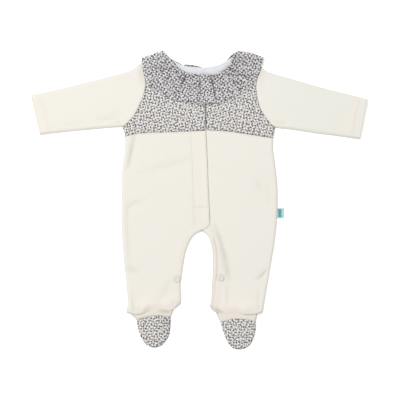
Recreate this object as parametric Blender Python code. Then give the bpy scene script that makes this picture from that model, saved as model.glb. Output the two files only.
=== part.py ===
"""A footed baby sleepsuit of cream jersey, laid flat on its back panel.

Printed yoke, gathered neck ruffle and toe caps; long sleeves with a wide hem; one popper on
each inner leg. X runs across the suit, Y from the feet to the neck, Z up. The wearer's right
is at -X. The origin is below the middle of the suit, on the surface it lies on.

Sizes and tables are in millimetres. A panel is a grid of points in plan between its four
sides, lifted to the height of its layer there and given the thickness of its cloth.
"""
import bpy
import numpy as np

MM = 0.001
MIDDLE = (-0.05, -0.5, 0)     # of the outlines below; the origin is under it

# Cloth and seams
WALL = 1.1                    # jersey, and the printed cloth of yokes and toe caps
THIN_WALL = 1.0               # ruffle, neck facing and underlap band
SEAM = 0.3                    # between pieces that are sewn together or lie on each other
HALF_SEAM = SEAM / 2

# Heights of the layers, all at their upper face
BACK_TOP = WALL
BACK_LIFT = THIN_WALL + SEAM  # the back lies on the back of the ruffle near the neck
EDGE_TOP = BACK_TOP + SEAM + WALL     # front at a side seam
FRONT_TOP = 5.2               # front away from its seams
SEAM_ROUND = 10.0             # from a seam to the full height of the front
BACK_LIFT_Y = (138.0, 152.0)  # from where the back starts to rise to where it is up
BACK_LIFT_X = (96.0, 120.0)   # and the rise fades out again between these, either side
CREASE_FADE = (1.0, 7.0)      # creases come in between these distances from a seam
CREASE_END = 0.55             # share of its depth that a crease has left at its ends

# Sleeve
FOLD_MIDDLE = 1.35            # height of the middle of the fold along the upper edge
SLEEVE_FOLD_ROUND = 8.0
FOLD_ROWS = (0.05, 0.95, 0.985)       # extra rows beside the seam and the fold, as shares across
FOLD_CLEARANCE = 0.9          # the end of the fold stays this much further from the yoke
FOLD_CLEARANCE_AT = (0.8, 0.95)
HEM_DEPTH = 18.0
HEM_RISE = 0.5
HEM_STEP = 2.5                # length of the step up to the turned hem
HEM_STEP_ROWS = (-0.006, 0.012)       # rows either side of that step, as shares of the sleeve
HEM_FADE = 0.1                # share of the width in which the step fades out at seam and fold

# Centre front
LAP_RISE = 0.7                # the right front stands this much higher along its edge
LAP_WIDTH = 12.0
LAP_END_Y = (-46.0, -30.0)    # and comes down again between these
UNDERLAP_DEPTH = 26.0
UNDERLAP_BEYOND = 5.0         # the band reaches this far under the left front
UNDERLAP_TOP_Y = 196.0
UNDERLAP_END_Y = -34.0

# Blouse of the leg over the instep
ROLL_RISE = 2.3
ROLL_FADE = (4.0, 26.0)       # from the blouse's edge
CURL_DROP = 1.5               # of the edge itself
CURL_LENGTH = 5.0
INSTEP_TUCK = 0.9             # the instep is this much lower than the cap in front of it
TUCK_LENGTH = 12.0
INSTEP_TAPER = (0.62, 0.3)    # its hidden end against its seam, across and along

# Ruffle
RUFFLE_WAVES_FRONT = 9        # on each front
RUFFLE_WAVE_INNER = 0.7
RUFFLE_WAVE_OUTER = 1.5
RUFFLE_WAVE_DRIFT = 1.3       # unevenness of the gathers, in radians
RUFFLE_CALM_LAP = (0.09, 0.2)         # no waves within this share of a front from the lap
RUFFLE_CALM_SHOULDER = 0.1            # nor from the shoulder
RUFFLE_LAP_RISE = THIN_WALL + SEAM + 0.3      # the right end of the strip lies on the left one
RUFFLE_LAP_FADE = (0.13, 0.24)
FOLD_ANGLES = (70, 35, 0, -35, -70, -90)  # round the shoulder, from the front to under the back

ARMHOLE_ROWS = 10             # rows of yoke, back and sleeve meet along the armhole

# Poppers and tag
POPPER_PLACES = {"right": (-38.5, -130.5), "left": (34.5, -128.5)}
POPPER_PROFILE = (            # radius and height above the cloth, from the middle outwards
    (0.0, 0.45), (1.9, 0.5), (2.5, 1.1), (3.4, 1.3), (4.4, 1.25), (5.2, 0.65), (5.2, 0.0),
)
POPPER_SEGMENTS = 16
POPPER_PROBE = 3.6            # the cloth's slope is taken this far from the middle
POPPER_SEAT = 0.45            # gap between cloth and cap

LABEL_X = (129.1, 140.0)
LABEL_Y = (-13.5, -30.0)
LABEL_THICKNESS = 1.2

# Outlines in plan, (x, y), from the neck towards the feet or from the body to the cuff
SHOULDER_RIGHT = ((-93, 228.5), (-75, 235), (-57.5, 240.5))
SHOULDER_LEFT = ((99.5, 222), (80, 231.5), (58.5, 238.5))
NECK_FRONT_RIGHT = ((-57.5, 240.5), (-45, 227.5), (-28, 213.5), (-14, 207.7), (-2, 206), (9.4, 205.6))
NECK_FRONT_LEFT = ((58.5, 238.5), (54, 232), (49.5, 222), (39, 212.5), (24.5, 207.3), (9.7, 205.6))
NECK_BACK = ((-57.5, 240.5), (-44.5, 228.4), (-30, 222), (-12, 219.2), (8, 217.9), (26, 220.2),
             (37, 224.6), (47, 230.5), (58.5, 238.5))
ARMHOLE_RIGHT = ((-93, 228.5), (-90, 203), (-91.3, 181), (-97.3, 162.5), (-107.5, 142), (-119, 128.3),
                 (-129.5, 119))
ARMHOLE_LEFT = ((99.5, 222), (95, 204), (93, 183), (98.5, 154), (108.5, 136.5), (118, 125.5),
                (126.5, 118))
STUB_RIGHT = ((-129.5, 119), (-124.3, 104.5))
STUB_LEFT = ((126.5, 118), (122.3, 101.2))
YOKE_SEAM_RIGHT = ((-124.3, 104.5), (-105, 109), (-78.5, 111), (-42.5, 112), (-7, 113.8), (9.4, 114.5))
YOKE_SEAM_LEFT = ((9.7, 114.5), (47, 111.7), (82.5, 106.6), (101, 103.8), (122.3, 101.2))
CENTRE_YOKE = ((9.4, 205.6), (8.6, 160), (9.4, 114.5))
CENTRE_FRONT = ((9.4, 114.5), (11.6, 70), (13.4, 20), (15.2, -15), (16.4, -42))
CORNER_FRONT = ((16.4, -42), (3, -52))
SIDE_RIGHT = ((-124.3, 104.5), (-124.3, 92), (-124.8, 76), (-127.8, 42), (-128.7, 5), (-128.5, -50),
              (-125.3, -98), (-120.7, -138), (-118.8, -166), (-121.5, -185.5))
SIDE_LEFT = ((122.3, 101.2), (121.3, 84), (123.9, 66), (128, 28), (128.8, 0), (128, -25), (124, -66),
             (116, -115), (108.5, -161), (104, -185))
INNER_RIGHT = ((3, -52), (-9.5, -59), (-18.5, -73), (-24.5, -93), (-29, -122), (-31.2, -143),
               (-30, -158), (-31, -170))
INNER_LEFT = ((3, -52), (12.3, -59), (18.5, -72), (21.4, -92), (21.2, -118), (19.5, -140),
              (19, -158), (16.5, -175.5))
CROTCH_SIDE_Y = (-44, -58)    # heights on the side seams level with the front's lower corner
ANKLE_RIGHT = ((-121.5, -185.5), (-108, -188.6), (-95.5, -187), (-82, -182), (-66, -181.4),
               (-52, -183.2), (-43, -179), (-31, -170))
ANKLE_LEFT = ((16.5, -175.5), (24, -184), (43, -187), (60, -185.6), (74, -188.5), (92, -188),
              (104, -185))

# Feet: the outer and inner edge from the leg to the toe, and the round of the toe
FOOT = {
    "right": {
        "outer_ankle": ((-113, -184.2), (-112.5, -190), (-105, -197.5)),
        "inner_ankle": ((-43, -172.2), (-44.5, -184), (-48.3, -193)),
        "outer_toe": ((-105, -197.5), (-103.8, -212), (-99, -227), (-91, -238)),
        "inner_toe": ((-48.3, -193), (-47.3, -210), (-50, -225), (-58, -236)),
        "toe": ((-91, -238), (-83, -243.8), (-72.5, -245.2), (-63.5, -241.5), (-58, -236)),
        "cap_seam": ((-105, -197.5), (-84, -191.9), (-67, -190.6), (-48.3, -193)),
        "hidden": (-80, -166.0),
        "mirror": False,
    },
    "left": {
        "outer_ankle": ((95.5, -184.1), (95.2, -191), (92.8, -200)),
        "inner_ankle": ((24, -176.3), (27.5, -190), (33.6, -201.5)),
        "outer_toe": ((92.8, -200), (92.2, -213), (90, -227), (84, -238.5)),
        "inner_toe": ((33.6, -201.5), (36.8, -213), (41.5, -226), (47.5, -238)),
        "toe": ((84, -238.5), (76, -245), (66, -248.3), (55, -246), (47.5, -238)),
        "cap_seam": ((92.8, -200), (75, -197.2), (56, -196.4), (33.6, -201.5)),
        "hidden": (60, -172.0),
        "mirror": True,
    },
}

SLEEVE_RIGHT_UPPER = ((-93, 228.5), (-99, 225), (-112, 214.8), (-125.5, 210), (-152, 202.7),
                      (-191.5, 192.6), (-231, 182.9), (-277.5, 172.7))
SLEEVE_RIGHT_LOWER = ((-129.5, 119), (-138, 119.6), (-161.5, 117.3), (-200, 113.7), (-240, 109.7),
                      (-262.6, 107.1))
SLEEVE_LEFT_UPPER = ((99.5, 222), (106.5, 214.6), (117, 209.4), (142, 202.2), (181.5, 190.6), (221, 180),
                     (250, 173), (277.4, 165.7))
SLEEVE_LEFT_LOWER = ((126.5, 118), (134, 117.5), (143, 116.5), (161.5, 113.9), (190, 109.3),
                     (221, 105.6), (245, 102), (264.8, 98.8))

# Neck facing: its upper edge stands just above the back neck
FACING = ((-47, 231.6), (-44, 229.7), (-30, 223.3), (-12, 220.5), (8, 219.2), (26, 221.5), (37, 225.9),
          (47, 231.8), (52, 236))
FACING_LOWER = ((-50, 224), (-34, 209), (-12, 202.5), (8, 201.5), (28, 203.5), (44, 212), (55, 227))

# Ruffle: rows from the neck edge to the free edge (neck x, neck y, free x, free y)
RUFFLE_RIGHT = (              # from the lap at the centre front to the shoulder
    (18.0, 207.6, 28.8, 159.8),
    (6.0, 206.6, 6.5, 158.8),
    (-5.0, 207.0, -16.5, 160.9),
    (-16.5, 208.7, -40.0, 164.6),
    (-28.0, 214.5, -56.5, 169.3),
    (-38.0, 222.0, -69.0, 178.5),
    (-46.5, 229.5, -82.5, 186.6),
    (-53.0, 237.0, -90.5, 199.0),
    (-58.3, 243.3, -95.0, 218.0),
)
RUFFLE_BACK = (               # from the right shoulder to the left one, under the back
    (-54.0, 238.3, -87.5, 229.6),
    (-50.5, 235.0, -85.5, 214.0),
    (-44.0, 230.7, -79.0, 190.0),
    (-29.5, 224.5, -50.0, 166.0),
    (-12.0, 222.0, -20.0, 157.5),
    (8.0, 220.5, 6.0, 155.5),
    (26.0, 222.8, 34.0, 157.5),
    (36.5, 227.2, 58.0, 166.0),
    (45.0, 232.0, 82.0, 190.0),
    (49.0, 234.2, 89.0, 214.0),
    (52.5, 236.4, 95.0, 229.5),
)
RUFFLE_LEFT = (               # from the shoulder to the centre front, where the right lap covers it
    (53.6, 240.4, 103.8, 226.0),
    (51.2, 233.5, 100.6, 213.0),
    (49.5, 224.5, 94.0, 200.0),
    (44.0, 217.8, 84.0, 186.8),
    (36.0, 212.3, 73.0, 176.3),
    (27.0, 209.3, 59.0, 170.8),
    (18.0, 207.8, 42.0, 163.3),
    (9.5, 206.8, 19.5, 158.2),
)
SHOULDER_FOLD_RIGHT = ((-60, 247.3), (-72, 244.5), (-84, 239.8), (-96.3, 234.8))
SHOULDER_FOLD_LEFT = ((54.5, 243), (63, 246.6), (82.5, 243.6), (104.3, 235.6))

# Creases of the front layer: a soft trough from one point to the other, or a ridge if depth < 0
CREASES = (                   # x0, y0, x1, y1, half width, depth
    (-108, 106, -118.5, 52, 5.0, 1.2),     # tuck below the right armhole
    (-96, 48, -16, 70, 8.0, 0.7),          # across the right chest
    (-119, -8, -92, 7, 6.5, 0.8),          # right hip
    (-119, -112, -100, -116, 6.0, 0.9),    # outer side of the right knee
    (-116, -184, -80, -180, 5.0, 1.1),     # right ankle
    (-70, -176, -62, -158, 6.0, 0.8),      # above the right ankle
    (26, -48, 44, -92, 7.0, 1.2),          # from the crotch down the left thigh
    (44, -92, 52, -128, 7.0, 1.0),
    (97, -131, 112, -116, 5.0, 1.4),       # outer side of the left knee
    (94, 30, 104, 12, 7.0, 0.8),           # left waist
    (72, -184, 98, -181, 5.0, 1.1),        # left ankle
    (-172, 129, -131, 142, 7.0, 1.0),      # right sleeve, towards the underarm
    (-240, 120, -190, 124, 6.0, 0.7),      # right sleeve, along its lower edge
    (124, 131, 148, 134, 6.0, 0.9),        # left sleeve, towards the underarm
    (60, 60, 92, 74, 10.0, -0.3),          # low swellings between the creases
    (-70, -20, -40, -60, 14.0, -0.4),
    (60, -20, 84, -70, 14.0, -0.4),
)

COLOURS = {                   # linear base colour, roughness
    "jersey": ((0.870, 0.840, 0.775), 0.90),
    "print": ((0.540, 0.515, 0.500), 0.88),
    "facing": ((0.790, 0.805, 0.840), 0.90),
    "popper": ((0.780, 0.780, 0.770), 0.35),
    "label": ((0.300, 0.600, 0.620), 0.70),
}


# ---- Curves in plan

def smooth(points, steps=10):
    """A smooth open curve through the points, as a fine polyline."""
    p = np.array(points, float)
    p = np.vstack([2 * p[0] - p[1], p, 2 * p[-1] - p[-2]])
    t = np.linspace(0, 1, steps, endpoint=False)[:, None]
    spans = [
        0.5 * (2 * b + (c - a) * t + (2 * a - 5 * b + 4 * c - d) * t**2 + (3 * b - a - 3 * c + d) * t**3)
        for a, b, c, d in zip(p, p[1:], p[2:], p[3:])
    ]
    return np.vstack(spans + [p[-2:-1]])


def lengths(curve):
    """Length along the polyline from its start to each of its points."""
    steps = np.linalg.norm(np.diff(curve, axis=0), axis=1)
    return np.concatenate([[0], np.cumsum(steps)])


def spaced(points, count):
    """count + 1 points at equal lengths along the smooth curve through the points."""
    curve = smooth(points)
    along = lengths(curve)
    at = np.linspace(0, along[-1], count + 1)
    return np.stack([np.interp(at, along, curve[:, k]) for k in range(curve.shape[1])], axis=1)


def part_of(points, y_from, y_to, count):
    """count + 1 points of a falling curve between two heights."""
    curve = smooth(points)
    return spaced(cut(curve, y_from, y_to), count)


def cut(curve, y_from, y_to):
    """The stretch of a falling polyline between two heights, which it is cut to."""
    y = -curve[:, 1]
    ends = [[np.interp(-h, y, curve[:, 0]), h] for h in (y_from, y_to)]
    inside = curve[(curve[:, 1] < y_from) & (curve[:, 1] > y_to)]
    return np.vstack([ends[0], inside, ends[1]])


def joined(*spans):
    """One side of a panel from spans that each start where the last one ends."""
    return np.vstack([spans[0]] + [span[1:] for span in spans[1:]])


def distance(points, polyline):
    """Distance in plan from each point to the polyline."""
    points = np.asarray(points, float)
    polyline = np.asarray(polyline, float)
    a, along = polyline[:-1], np.diff(polyline, axis=0)
    real = np.abs(along).sum(axis=1) > 1e-9
    a, along = a[real], along[real]
    flat = points.reshape(-1, 1, 2)
    t = np.clip(((flat - a) * along).sum(-1) / (along**2).sum(-1), 0, 1)
    gap = np.linalg.norm(flat - a - t[..., None] * along, axis=-1).min(axis=1)
    return gap.reshape(points.shape[:-1])


def ease(value, start, end):
    """0 before start, 1 after end, and a smooth step between them."""
    t = np.clip((np.asarray(value, float) - start) / (end - start), 0, 1)
    return t * t * (3 - 2 * t)


# ---- Sewn and folded outline that the front layer comes down to

def foot_outline(side):
    """Polyline round a foot, from its outer ankle to its inner one."""
    foot = FOOT[side]
    spans = [foot["outer_ankle"], foot["outer_toe"], foot["toe"], foot["inner_toe"][::-1],
             foot["inner_ankle"][::-1]]
    return np.vstack([smooth(span) for span in spans])


SEWN_OUTLINE = np.vstack([
    smooth(SLEEVE_RIGHT_LOWER)[::-1], STUB_RIGHT, smooth(SIDE_RIGHT), foot_outline("right"),
    smooth(INNER_RIGHT)[::-1], smooth(INNER_LEFT), foot_outline("left")[::-1], smooth(SIDE_LEFT)[::-1],
    STUB_LEFT[::-1], smooth(SLEEVE_LEFT_LOWER),
])


def back_lift(points):
    """How far the back is raised by the ruffle under it."""
    x, y = points[..., 0], points[..., 1]
    across = 1 - ease(np.abs(x), *BACK_LIFT_X)
    return BACK_LIFT * ease(y, *BACK_LIFT_Y) * across


def crease_depth(points):
    """Depth of the creases at each point."""
    total = np.zeros(points.shape[:-1])
    for x0, y0, x1, y1, half_width, depth in CREASES:
        start, end = np.array([x0, y0]), np.array([x1, y1])
        run = end - start
        t = np.clip(((points - start) @ run) / (run @ run), 0, 1)
        away = np.linalg.norm(points - start - t[..., None] * run, axis=-1)
        along = CREASE_END + (1 - CREASE_END) * np.sin(np.pi * t)
        total += depth * np.exp(-(away / half_width) ** 2) * along
    return total


def front_height(points):
    """Upper face of the front layer, from a seam to its full height."""
    to_seam = distance(points, SEWN_OUTLINE)
    edge = EDGE_TOP + back_lift(points)
    share = 1 - (1 - np.clip(to_seam / SEAM_ROUND, 0, 1)) ** 2
    return edge + (FRONT_TOP - edge) * share - crease_depth(points) * ease(to_seam, *CREASE_FADE)


def sleeve_height(points, upper):
    """Upper face of a sleeve, which also comes down to the fold along its upper edge."""
    height = front_height(points)
    to_fold = np.clip(distance(points, smooth(upper)) / SLEEVE_FOLD_ROUND, 0, 1)
    return FOLD_MIDDLE + (height - FOLD_MIDDLE) * np.sqrt(1 - (1 - to_fold) ** 2)


def lap_rise(points):
    """Extra height of the right front along its edge at the centre front."""
    edge = smooth(joined(np.array(CENTRE_YOKE), np.array(CENTRE_FRONT)))
    falling = cut(edge, edge[0, 1], edge[-1, 1])
    edge_x = np.interp(-points[..., 1], -falling[:, 1], falling[:, 0])
    before = ease(points[..., 0] - edge_x, -LAP_WIDTH, 0)
    after = 1 - ease(points[..., 0] - edge_x, 1, LAP_WIDTH)
    return LAP_RISE * before * after * ease(points[..., 1], *LAP_END_Y)


# ---- Panels

def coons(left, right, top, bottom):
    """Plan points of a panel between its four sides: rows from top to bottom."""
    v = (lengths(left) / lengths(left)[-1] + lengths(right) / lengths(right)[-1])[:, None, None] / 2
    u = (lengths(top) / lengths(top)[-1] + lengths(bottom) / lengths(bottom)[-1])[None, :, None] / 2
    across = (1 - u) * left[:, None] + u * right[:, None]
    down = (1 - v) * top[None] + v * bottom[None]
    corners = ((1 - u) * (1 - v) * top[0] + u * (1 - v) * top[-1]
               + (1 - u) * v * bottom[0] + u * v * bottom[-1])
    return across + down - corners


def trimmed(grid, top=0, bottom=0, left=0, right=0):
    """The grid with its edges drawn in by these widths."""
    grid = grid.copy()
    edges = ((0, 1, top, 0), (-1, -2, bottom, 0), (0, 1, left, 1), (-1, -2, right, 1))
    for edge, inner, width, axis in edges:
        lines = np.moveaxis(grid, axis, 0)
        run = lines[inner] - lines[edge]
        along = np.gradient(lines[edge], axis=0)
        along /= np.linalg.norm(along, axis=-1, keepdims=True)
        run -= (run * along).sum(axis=-1, keepdims=True) * along
        lines[edge] += width * run / np.linalg.norm(run, axis=-1, keepdims=True)
    return grid


def raised(grid, height):
    """Grid points with their height added."""
    return np.concatenate([grid, height[..., None]], axis=-1)


def material(name):
    """The Principled material of one cloth or trim."""
    if name in bpy.data.materials:
        return bpy.data.materials[name]
    colour, roughness = COLOURS[name]
    made = bpy.data.materials.new(name)
    made.use_nodes = True
    shader = made.node_tree.nodes["Principled BSDF"]
    shader.inputs["Base Color"].default_value = (*colour, 1)
    shader.inputs["Roughness"].default_value = roughness
    shader.inputs["Metallic"].default_value = 0
    return made


def add_object(name, points, faces, finish):
    """A named object from points in the millimetres of the tables."""
    mesh = bpy.data.meshes.new(name)
    mesh.from_pydata([tuple(co) for co in (np.asarray(points) - MIDDLE) * MM], [], faces)
    mesh.shade_smooth()
    mesh.materials.append(material(finish))
    made = bpy.data.objects.new(name, mesh)
    bpy.context.collection.objects.link(made)
    return made


def grid_faces(rows, columns, first=0):
    """Quads of a grid that face up where rows run down and columns run to the right."""
    return [
        (first + r * columns + c, first + (r + 1) * columns + c,
         first + (r + 1) * columns + c + 1, first + r * columns + c + 1)
        for r in range(rows - 1) for c in range(columns - 1)
    ]


def add_cloth(name, grid, wall, finish, flip=False):
    """A panel of cloth: the grid is its outer face, and the wall lies behind it."""
    rows, columns = grid.shape[:2]
    faces = grid_faces(rows, columns)
    if flip:
        faces = [face[::-1] for face in faces]
    made = add_object(name, grid.reshape(-1, 3), faces, finish)
    thicken(made, wall)
    return made


def thicken(made, wall):
    """Give the sheet its wall, behind the face that it shows."""
    solid = made.modifiers.new("Wall", "SOLIDIFY")
    solid.thickness = wall * MM
    solid.offset = -1
    solid.use_even_offset = True
    solid.use_rim = True


# ---- The sewn pieces

def build_back():
    """Back of body and legs in one piece, flat but for its rise over the ruffle."""
    neck, shoulder, side_rows, leg_rows = 8, 2, 8, 8
    top = joined(spaced(SHOULDER_RIGHT, shoulder), spaced(NECK_BACK, neck),
                 spaced(SHOULDER_LEFT[::-1], shoulder))
    columns = len(top)
    half = columns // 2
    left_side, right_side = smooth(SIDE_RIGHT), smooth(SIDE_LEFT)
    left = joined(spaced(ARMHOLE_RIGHT, ARMHOLE_ROWS), spaced(STUB_RIGHT, 1),
                  part_of(SIDE_RIGHT, SIDE_RIGHT[0][1], CROTCH_SIDE_Y[1], side_rows))
    right = joined(spaced(ARMHOLE_LEFT, ARMHOLE_ROWS), spaced(STUB_LEFT, 1),
                   part_of(SIDE_LEFT, SIDE_LEFT[0][1], CROTCH_SIDE_Y[1], side_rows))
    crotch = np.array(INNER_RIGHT[0], float)
    bottom = joined(spaced((left[-1], crotch), half), spaced((crotch, right[-1]), half))
    torso = trimmed(coons(left, right, top, bottom), left=HALF_SEAM, right=HALF_SEAM)
    legs = []
    for side, inner, ankle, at_left in ((left_side, INNER_RIGHT, ANKLE_RIGHT, True),
                                        (right_side, INNER_LEFT, ANKLE_LEFT, False)):
        outer = spaced(cut(side, CROTCH_SIDE_Y[1], side[-1][1]), leg_rows)
        inner = spaced(inner, leg_rows)
        sides = (outer, inner) if at_left else (inner, outer)
        heel = spaced((ankle[0], ankle[-1]), half)
        upper = torso[-1, :half + 1] if at_left else torso[-1, half:]
        legs.append(coons(sides[0], sides[1], upper, heel))
    points = torso.reshape(-1, 2)
    faces = grid_faces(torso.shape[0], columns)
    last_row = (torso.shape[0] - 1) * columns
    for leg, start in ((legs[0], 0), (legs[1], half)):
        first = len(points)
        points = np.vstack([points, leg[1:].reshape(-1, 2)])
        width = half + 1
        for c in range(half):
            faces.append((last_row + start + c, first + c, first + c + 1, last_row + start + c + 1))
        faces += grid_faces(leg_rows, width, first)
    made = add_object("back_body", raised(points, BACK_TOP + back_lift(points)), faces, "jersey")
    thicken(made, WALL)


def build_front(side):
    """Front of body and leg: from the yoke seam to the blouse over the instep."""
    upper_rows, corner_rows, leg_rows, columns = 18, 2, 16, 13
    is_right = side == "right"
    centre = np.array(CENTRE_FRONT, float)
    corner = np.array(CORNER_FRONT, float)
    if not is_right:
        centre = centre + (SEAM, 0)
        corner = corner + (SEAM, -SEAM)
    inner = INNER_RIGHT if is_right else INNER_LEFT
    centre_side = joined(spaced(centre, upper_rows), spaced(corner, corner_rows),
                         spaced((tuple(corner[1]),) + inner[1:], leg_rows))
    outline = SIDE_RIGHT if is_right else SIDE_LEFT
    outer_side = joined(part_of(outline, outline[0][1], CROTCH_SIDE_Y[0], upper_rows),
                        part_of(outline, CROTCH_SIDE_Y[0], CROTCH_SIDE_Y[1], corner_rows),
                        part_of(outline, CROTCH_SIDE_Y[1], outline[-1][1], leg_rows))
    top = spaced(YOKE_SEAM_RIGHT if is_right else YOKE_SEAM_LEFT, columns)
    bottom = spaced(ANKLE_RIGHT if is_right else ANKLE_LEFT, columns)
    sides = (outer_side, centre_side) if is_right else (centre_side, outer_side)
    grid = coons(sides[0], sides[1], top, bottom)
    grid = trimmed(grid, top=HALF_SEAM)
    height = front_height(grid)
    if is_right:
        height = height + lap_rise(grid)
    to_ankle = distance(grid, smooth(ANKLE_RIGHT if is_right else ANKLE_LEFT))
    u = np.linspace(0, 1, columns + 1)[None, :]
    full = np.sin(np.pi * u)
    roll = ROLL_RISE * full**0.4 * (1 - ease(to_ankle, *ROLL_FADE))
    curl = CURL_DROP * full**2 * (1 - ease(to_ankle, 0, CURL_LENGTH))
    add_cloth("front_" + side, raised(grid, height + roll - curl), WALL, "jersey")


def build_yoke(side):
    """Printed yoke, from the shoulder to the seam below the armhole."""
    neck_rows, columns = 4, 9
    chest_rows = ARMHOLE_ROWS - neck_rows
    is_right = side == "right"
    armhole = ARMHOLE_RIGHT if is_right else ARMHOLE_LEFT
    stub = STUB_RIGHT if is_right else STUB_LEFT
    neck = NECK_FRONT_RIGHT if is_right else NECK_FRONT_LEFT
    shift = 0 if is_right else SEAM
    centre = np.array(CENTRE_YOKE, float) + (shift, 0)
    top_y, seam_y = centre[0][1], centre[-1][1]
    last_row_y = seam_y + (top_y - seam_y) / (chest_rows + 1)
    outer = joined(spaced(armhole, ARMHOLE_ROWS), spaced(stub, 1))
    inner = joined(spaced(neck, neck_rows), part_of(centre, top_y, last_row_y, chest_rows),
                   part_of(centre, last_row_y, seam_y, 1))
    shoulder = SHOULDER_RIGHT if is_right else SHOULDER_LEFT[::-1]
    seam = YOKE_SEAM_RIGHT if is_right else YOKE_SEAM_LEFT
    sides = (outer, inner) if is_right else (inner, outer)
    grid = coons(sides[0], sides[1], spaced(shoulder, columns), spaced(seam, columns))
    drawn_in = {"left": HALF_SEAM} if is_right else {"right": HALF_SEAM}
    grid = trimmed(grid, bottom=HALF_SEAM, **drawn_in)
    height = front_height(grid)
    if is_right:
        height = height + lap_rise(grid)
    add_cloth("yoke_" + side, raised(grid, height), WALL, "print")


def build_underlap():
    """Band sewn under the edge of the left front, which the right front laps over."""
    rows, columns = 14, 2
    edge = smooth(joined(np.array(CENTRE_YOKE), np.array(CENTRE_FRONT)))
    line = spaced(cut(edge, UNDERLAP_TOP_Y, UNDERLAP_END_Y), rows)
    u = np.linspace(0, 1, columns + 1)[None, :, None]
    start = line[:, None] - (UNDERLAP_DEPTH - UNDERLAP_BEYOND, 0)
    grid = start + u * (UNDERLAP_DEPTH, 0)
    add_cloth("front_underlap", raised(grid, front_height(grid) - WALL - SEAM), THIN_WALL, "jersey")


def build_facing():
    """White strip inside the back neck, on the back panel."""
    columns, rows = 14, 2
    top, bottom = spaced(FACING, columns), spaced(FACING_LOWER, columns)
    v = np.linspace(0, 1, rows + 1)[:, None, None]
    grid = (1 - v) * top[None] + v * bottom[None]
    height = BACK_TOP + back_lift(grid) + SEAM + THIN_WALL
    add_cloth("neck_facing", raised(grid, height), THIN_WALL, "facing")


def build_sleeve(side):
    """Sleeve as a flattened tube, folded along its upper edge and sewn along its lower one."""
    rows = 11
    is_right = side == "right"
    upper = SLEEVE_RIGHT_UPPER if is_right else SLEEVE_LEFT_UPPER
    lower = SLEEVE_RIGHT_LOWER if is_right else SLEEVE_LEFT_LOWER
    armhole = (ARMHOLE_RIGHT if is_right else ARMHOLE_LEFT)[::-1]
    # Shares of the way from the lower seam to the fold
    at_armhole = np.linspace(0, 1, ARMHOLE_ROWS + 1)
    share = np.sort(np.concatenate([at_armhole, FOLD_ROWS]))
    low, high = spaced(lower, rows), spaced(upper, rows)
    stations = spaced(armhole, ARMHOLE_ROWS)
    start = np.stack([np.interp(share, at_armhole, stations[:, k]) for k in (0, 1)], axis=1)
    cuff = low[-1] + share[:, None] * (high[-1] - low[-1])
    even = np.linspace(0, 1, rows + 1)
    v = even.copy()
    v[-4:-2] = 1 - HEM_DEPTH / np.linalg.norm(low[-1] - low[0]) + np.array(HEM_STEP_ROWS)
    low = np.stack([np.interp(v, even, low[:, k]) for k in (0, 1)], axis=1)
    high = np.stack([np.interp(v, even, high[:, k]) for k in (0, 1)], axis=1)
    at_fold = ease(share, *FOLD_CLEARANCE_AT)[:, None]
    top = trimmed(coons(start, cuff, low, high), left=HALF_SEAM + FOLD_CLEARANCE * at_fold)
    to_cuff = distance(top, np.array([cuff[0], cuff[-1]]))
    hem = HEM_RISE * (1 - ease(to_cuff, HEM_DEPTH - HEM_STEP, HEM_DEPTH))
    from_edges = np.minimum(share, 1 - share)[:, None]
    hem = hem * ease(from_edges, 0, HEM_FADE)
    height = sleeve_height(top, upper) + hem
    to_fold = distance(top, smooth(upper))
    under = FOLD_MIDDLE * (1 - np.sqrt(1 - (1 - np.clip(to_fold / FOLD_MIDDLE, 0, 1)) ** 2))
    lower_face = raised(top, under)[::-1][1:]
    ring = np.concatenate([raised(top, height), lower_face], axis=0)
    add_cloth("sleeve_" + side, ring, WALL, "jersey", flip=not is_right)


def build_ruffle():
    """Gathered ruffle in one strip: over both fronts, round the shoulders and under the back."""
    front_rows, back_rows, columns = 40, 14, 5
    u = np.linspace(0, 1, columns + 1)
    top_wall = THIN_WALL + SEAM

    def across(rows):
        return rows[:, None, :2] * (1 - u[None, :, None]) + rows[:, None, 2:] * u[None, :, None]

    def on_front(table, lap_end):
        rows = spaced(table, front_rows)
        plan = across(rows)
        t = np.linspace(0, 1, front_rows + 1)
        from_lap = t if lap_end == "first" else 1 - t
        wave = 0.5 - 0.5 * np.cos(2 * np.pi * RUFFLE_WAVES_FRONT * t + RUFFLE_WAVE_DRIFT * np.sin(5 * t))
        size = RUFFLE_WAVE_INNER + (RUFFLE_WAVE_OUTER - RUFFLE_WAVE_INNER) * u[None, :] ** 1.3
        calm = ease(from_lap, *RUFFLE_CALM_LAP) * ease(1 - from_lap, 0, RUFFLE_CALM_SHOULDER)
        height = front_height(plan) + lap_rise(plan) + top_wall + (wave * calm)[:, None] * size
        if lap_end == "first":
            height = height + RUFFLE_LAP_RISE * (1 - ease(from_lap, *RUFFLE_LAP_FADE))[:, None]
        return raised(plan, height)

    def round_fold(line, top, angles):
        fold = spaced(line, columns)
        radius = top / 2
        made = []
        for angle in np.radians(angles):
            back = radius * (1 - np.cos(angle))
            plan = fold - np.outer(back, (0, 1)).reshape(-1, 2)
            made.append(raised(plan, radius + radius * np.sin(angle)))
        return np.array(made)

    right = on_front(RUFFLE_RIGHT, "first")
    left = on_front(RUFFLE_LEFT, "last")
    under = across(spaced(RUFFLE_BACK, back_rows))
    under = raised(under, np.zeros(under.shape[:-1]))
    strips = [
        right,
        round_fold(SHOULDER_FOLD_RIGHT, right[-1, :, 2], FOLD_ANGLES),
        under,
        round_fold(SHOULDER_FOLD_LEFT, left[0, :, 2], FOLD_ANGLES[::-1]),
        left,
    ]
    add_cloth("neck_ruffle", np.concatenate(strips), THIN_WALL, "print")


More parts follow.
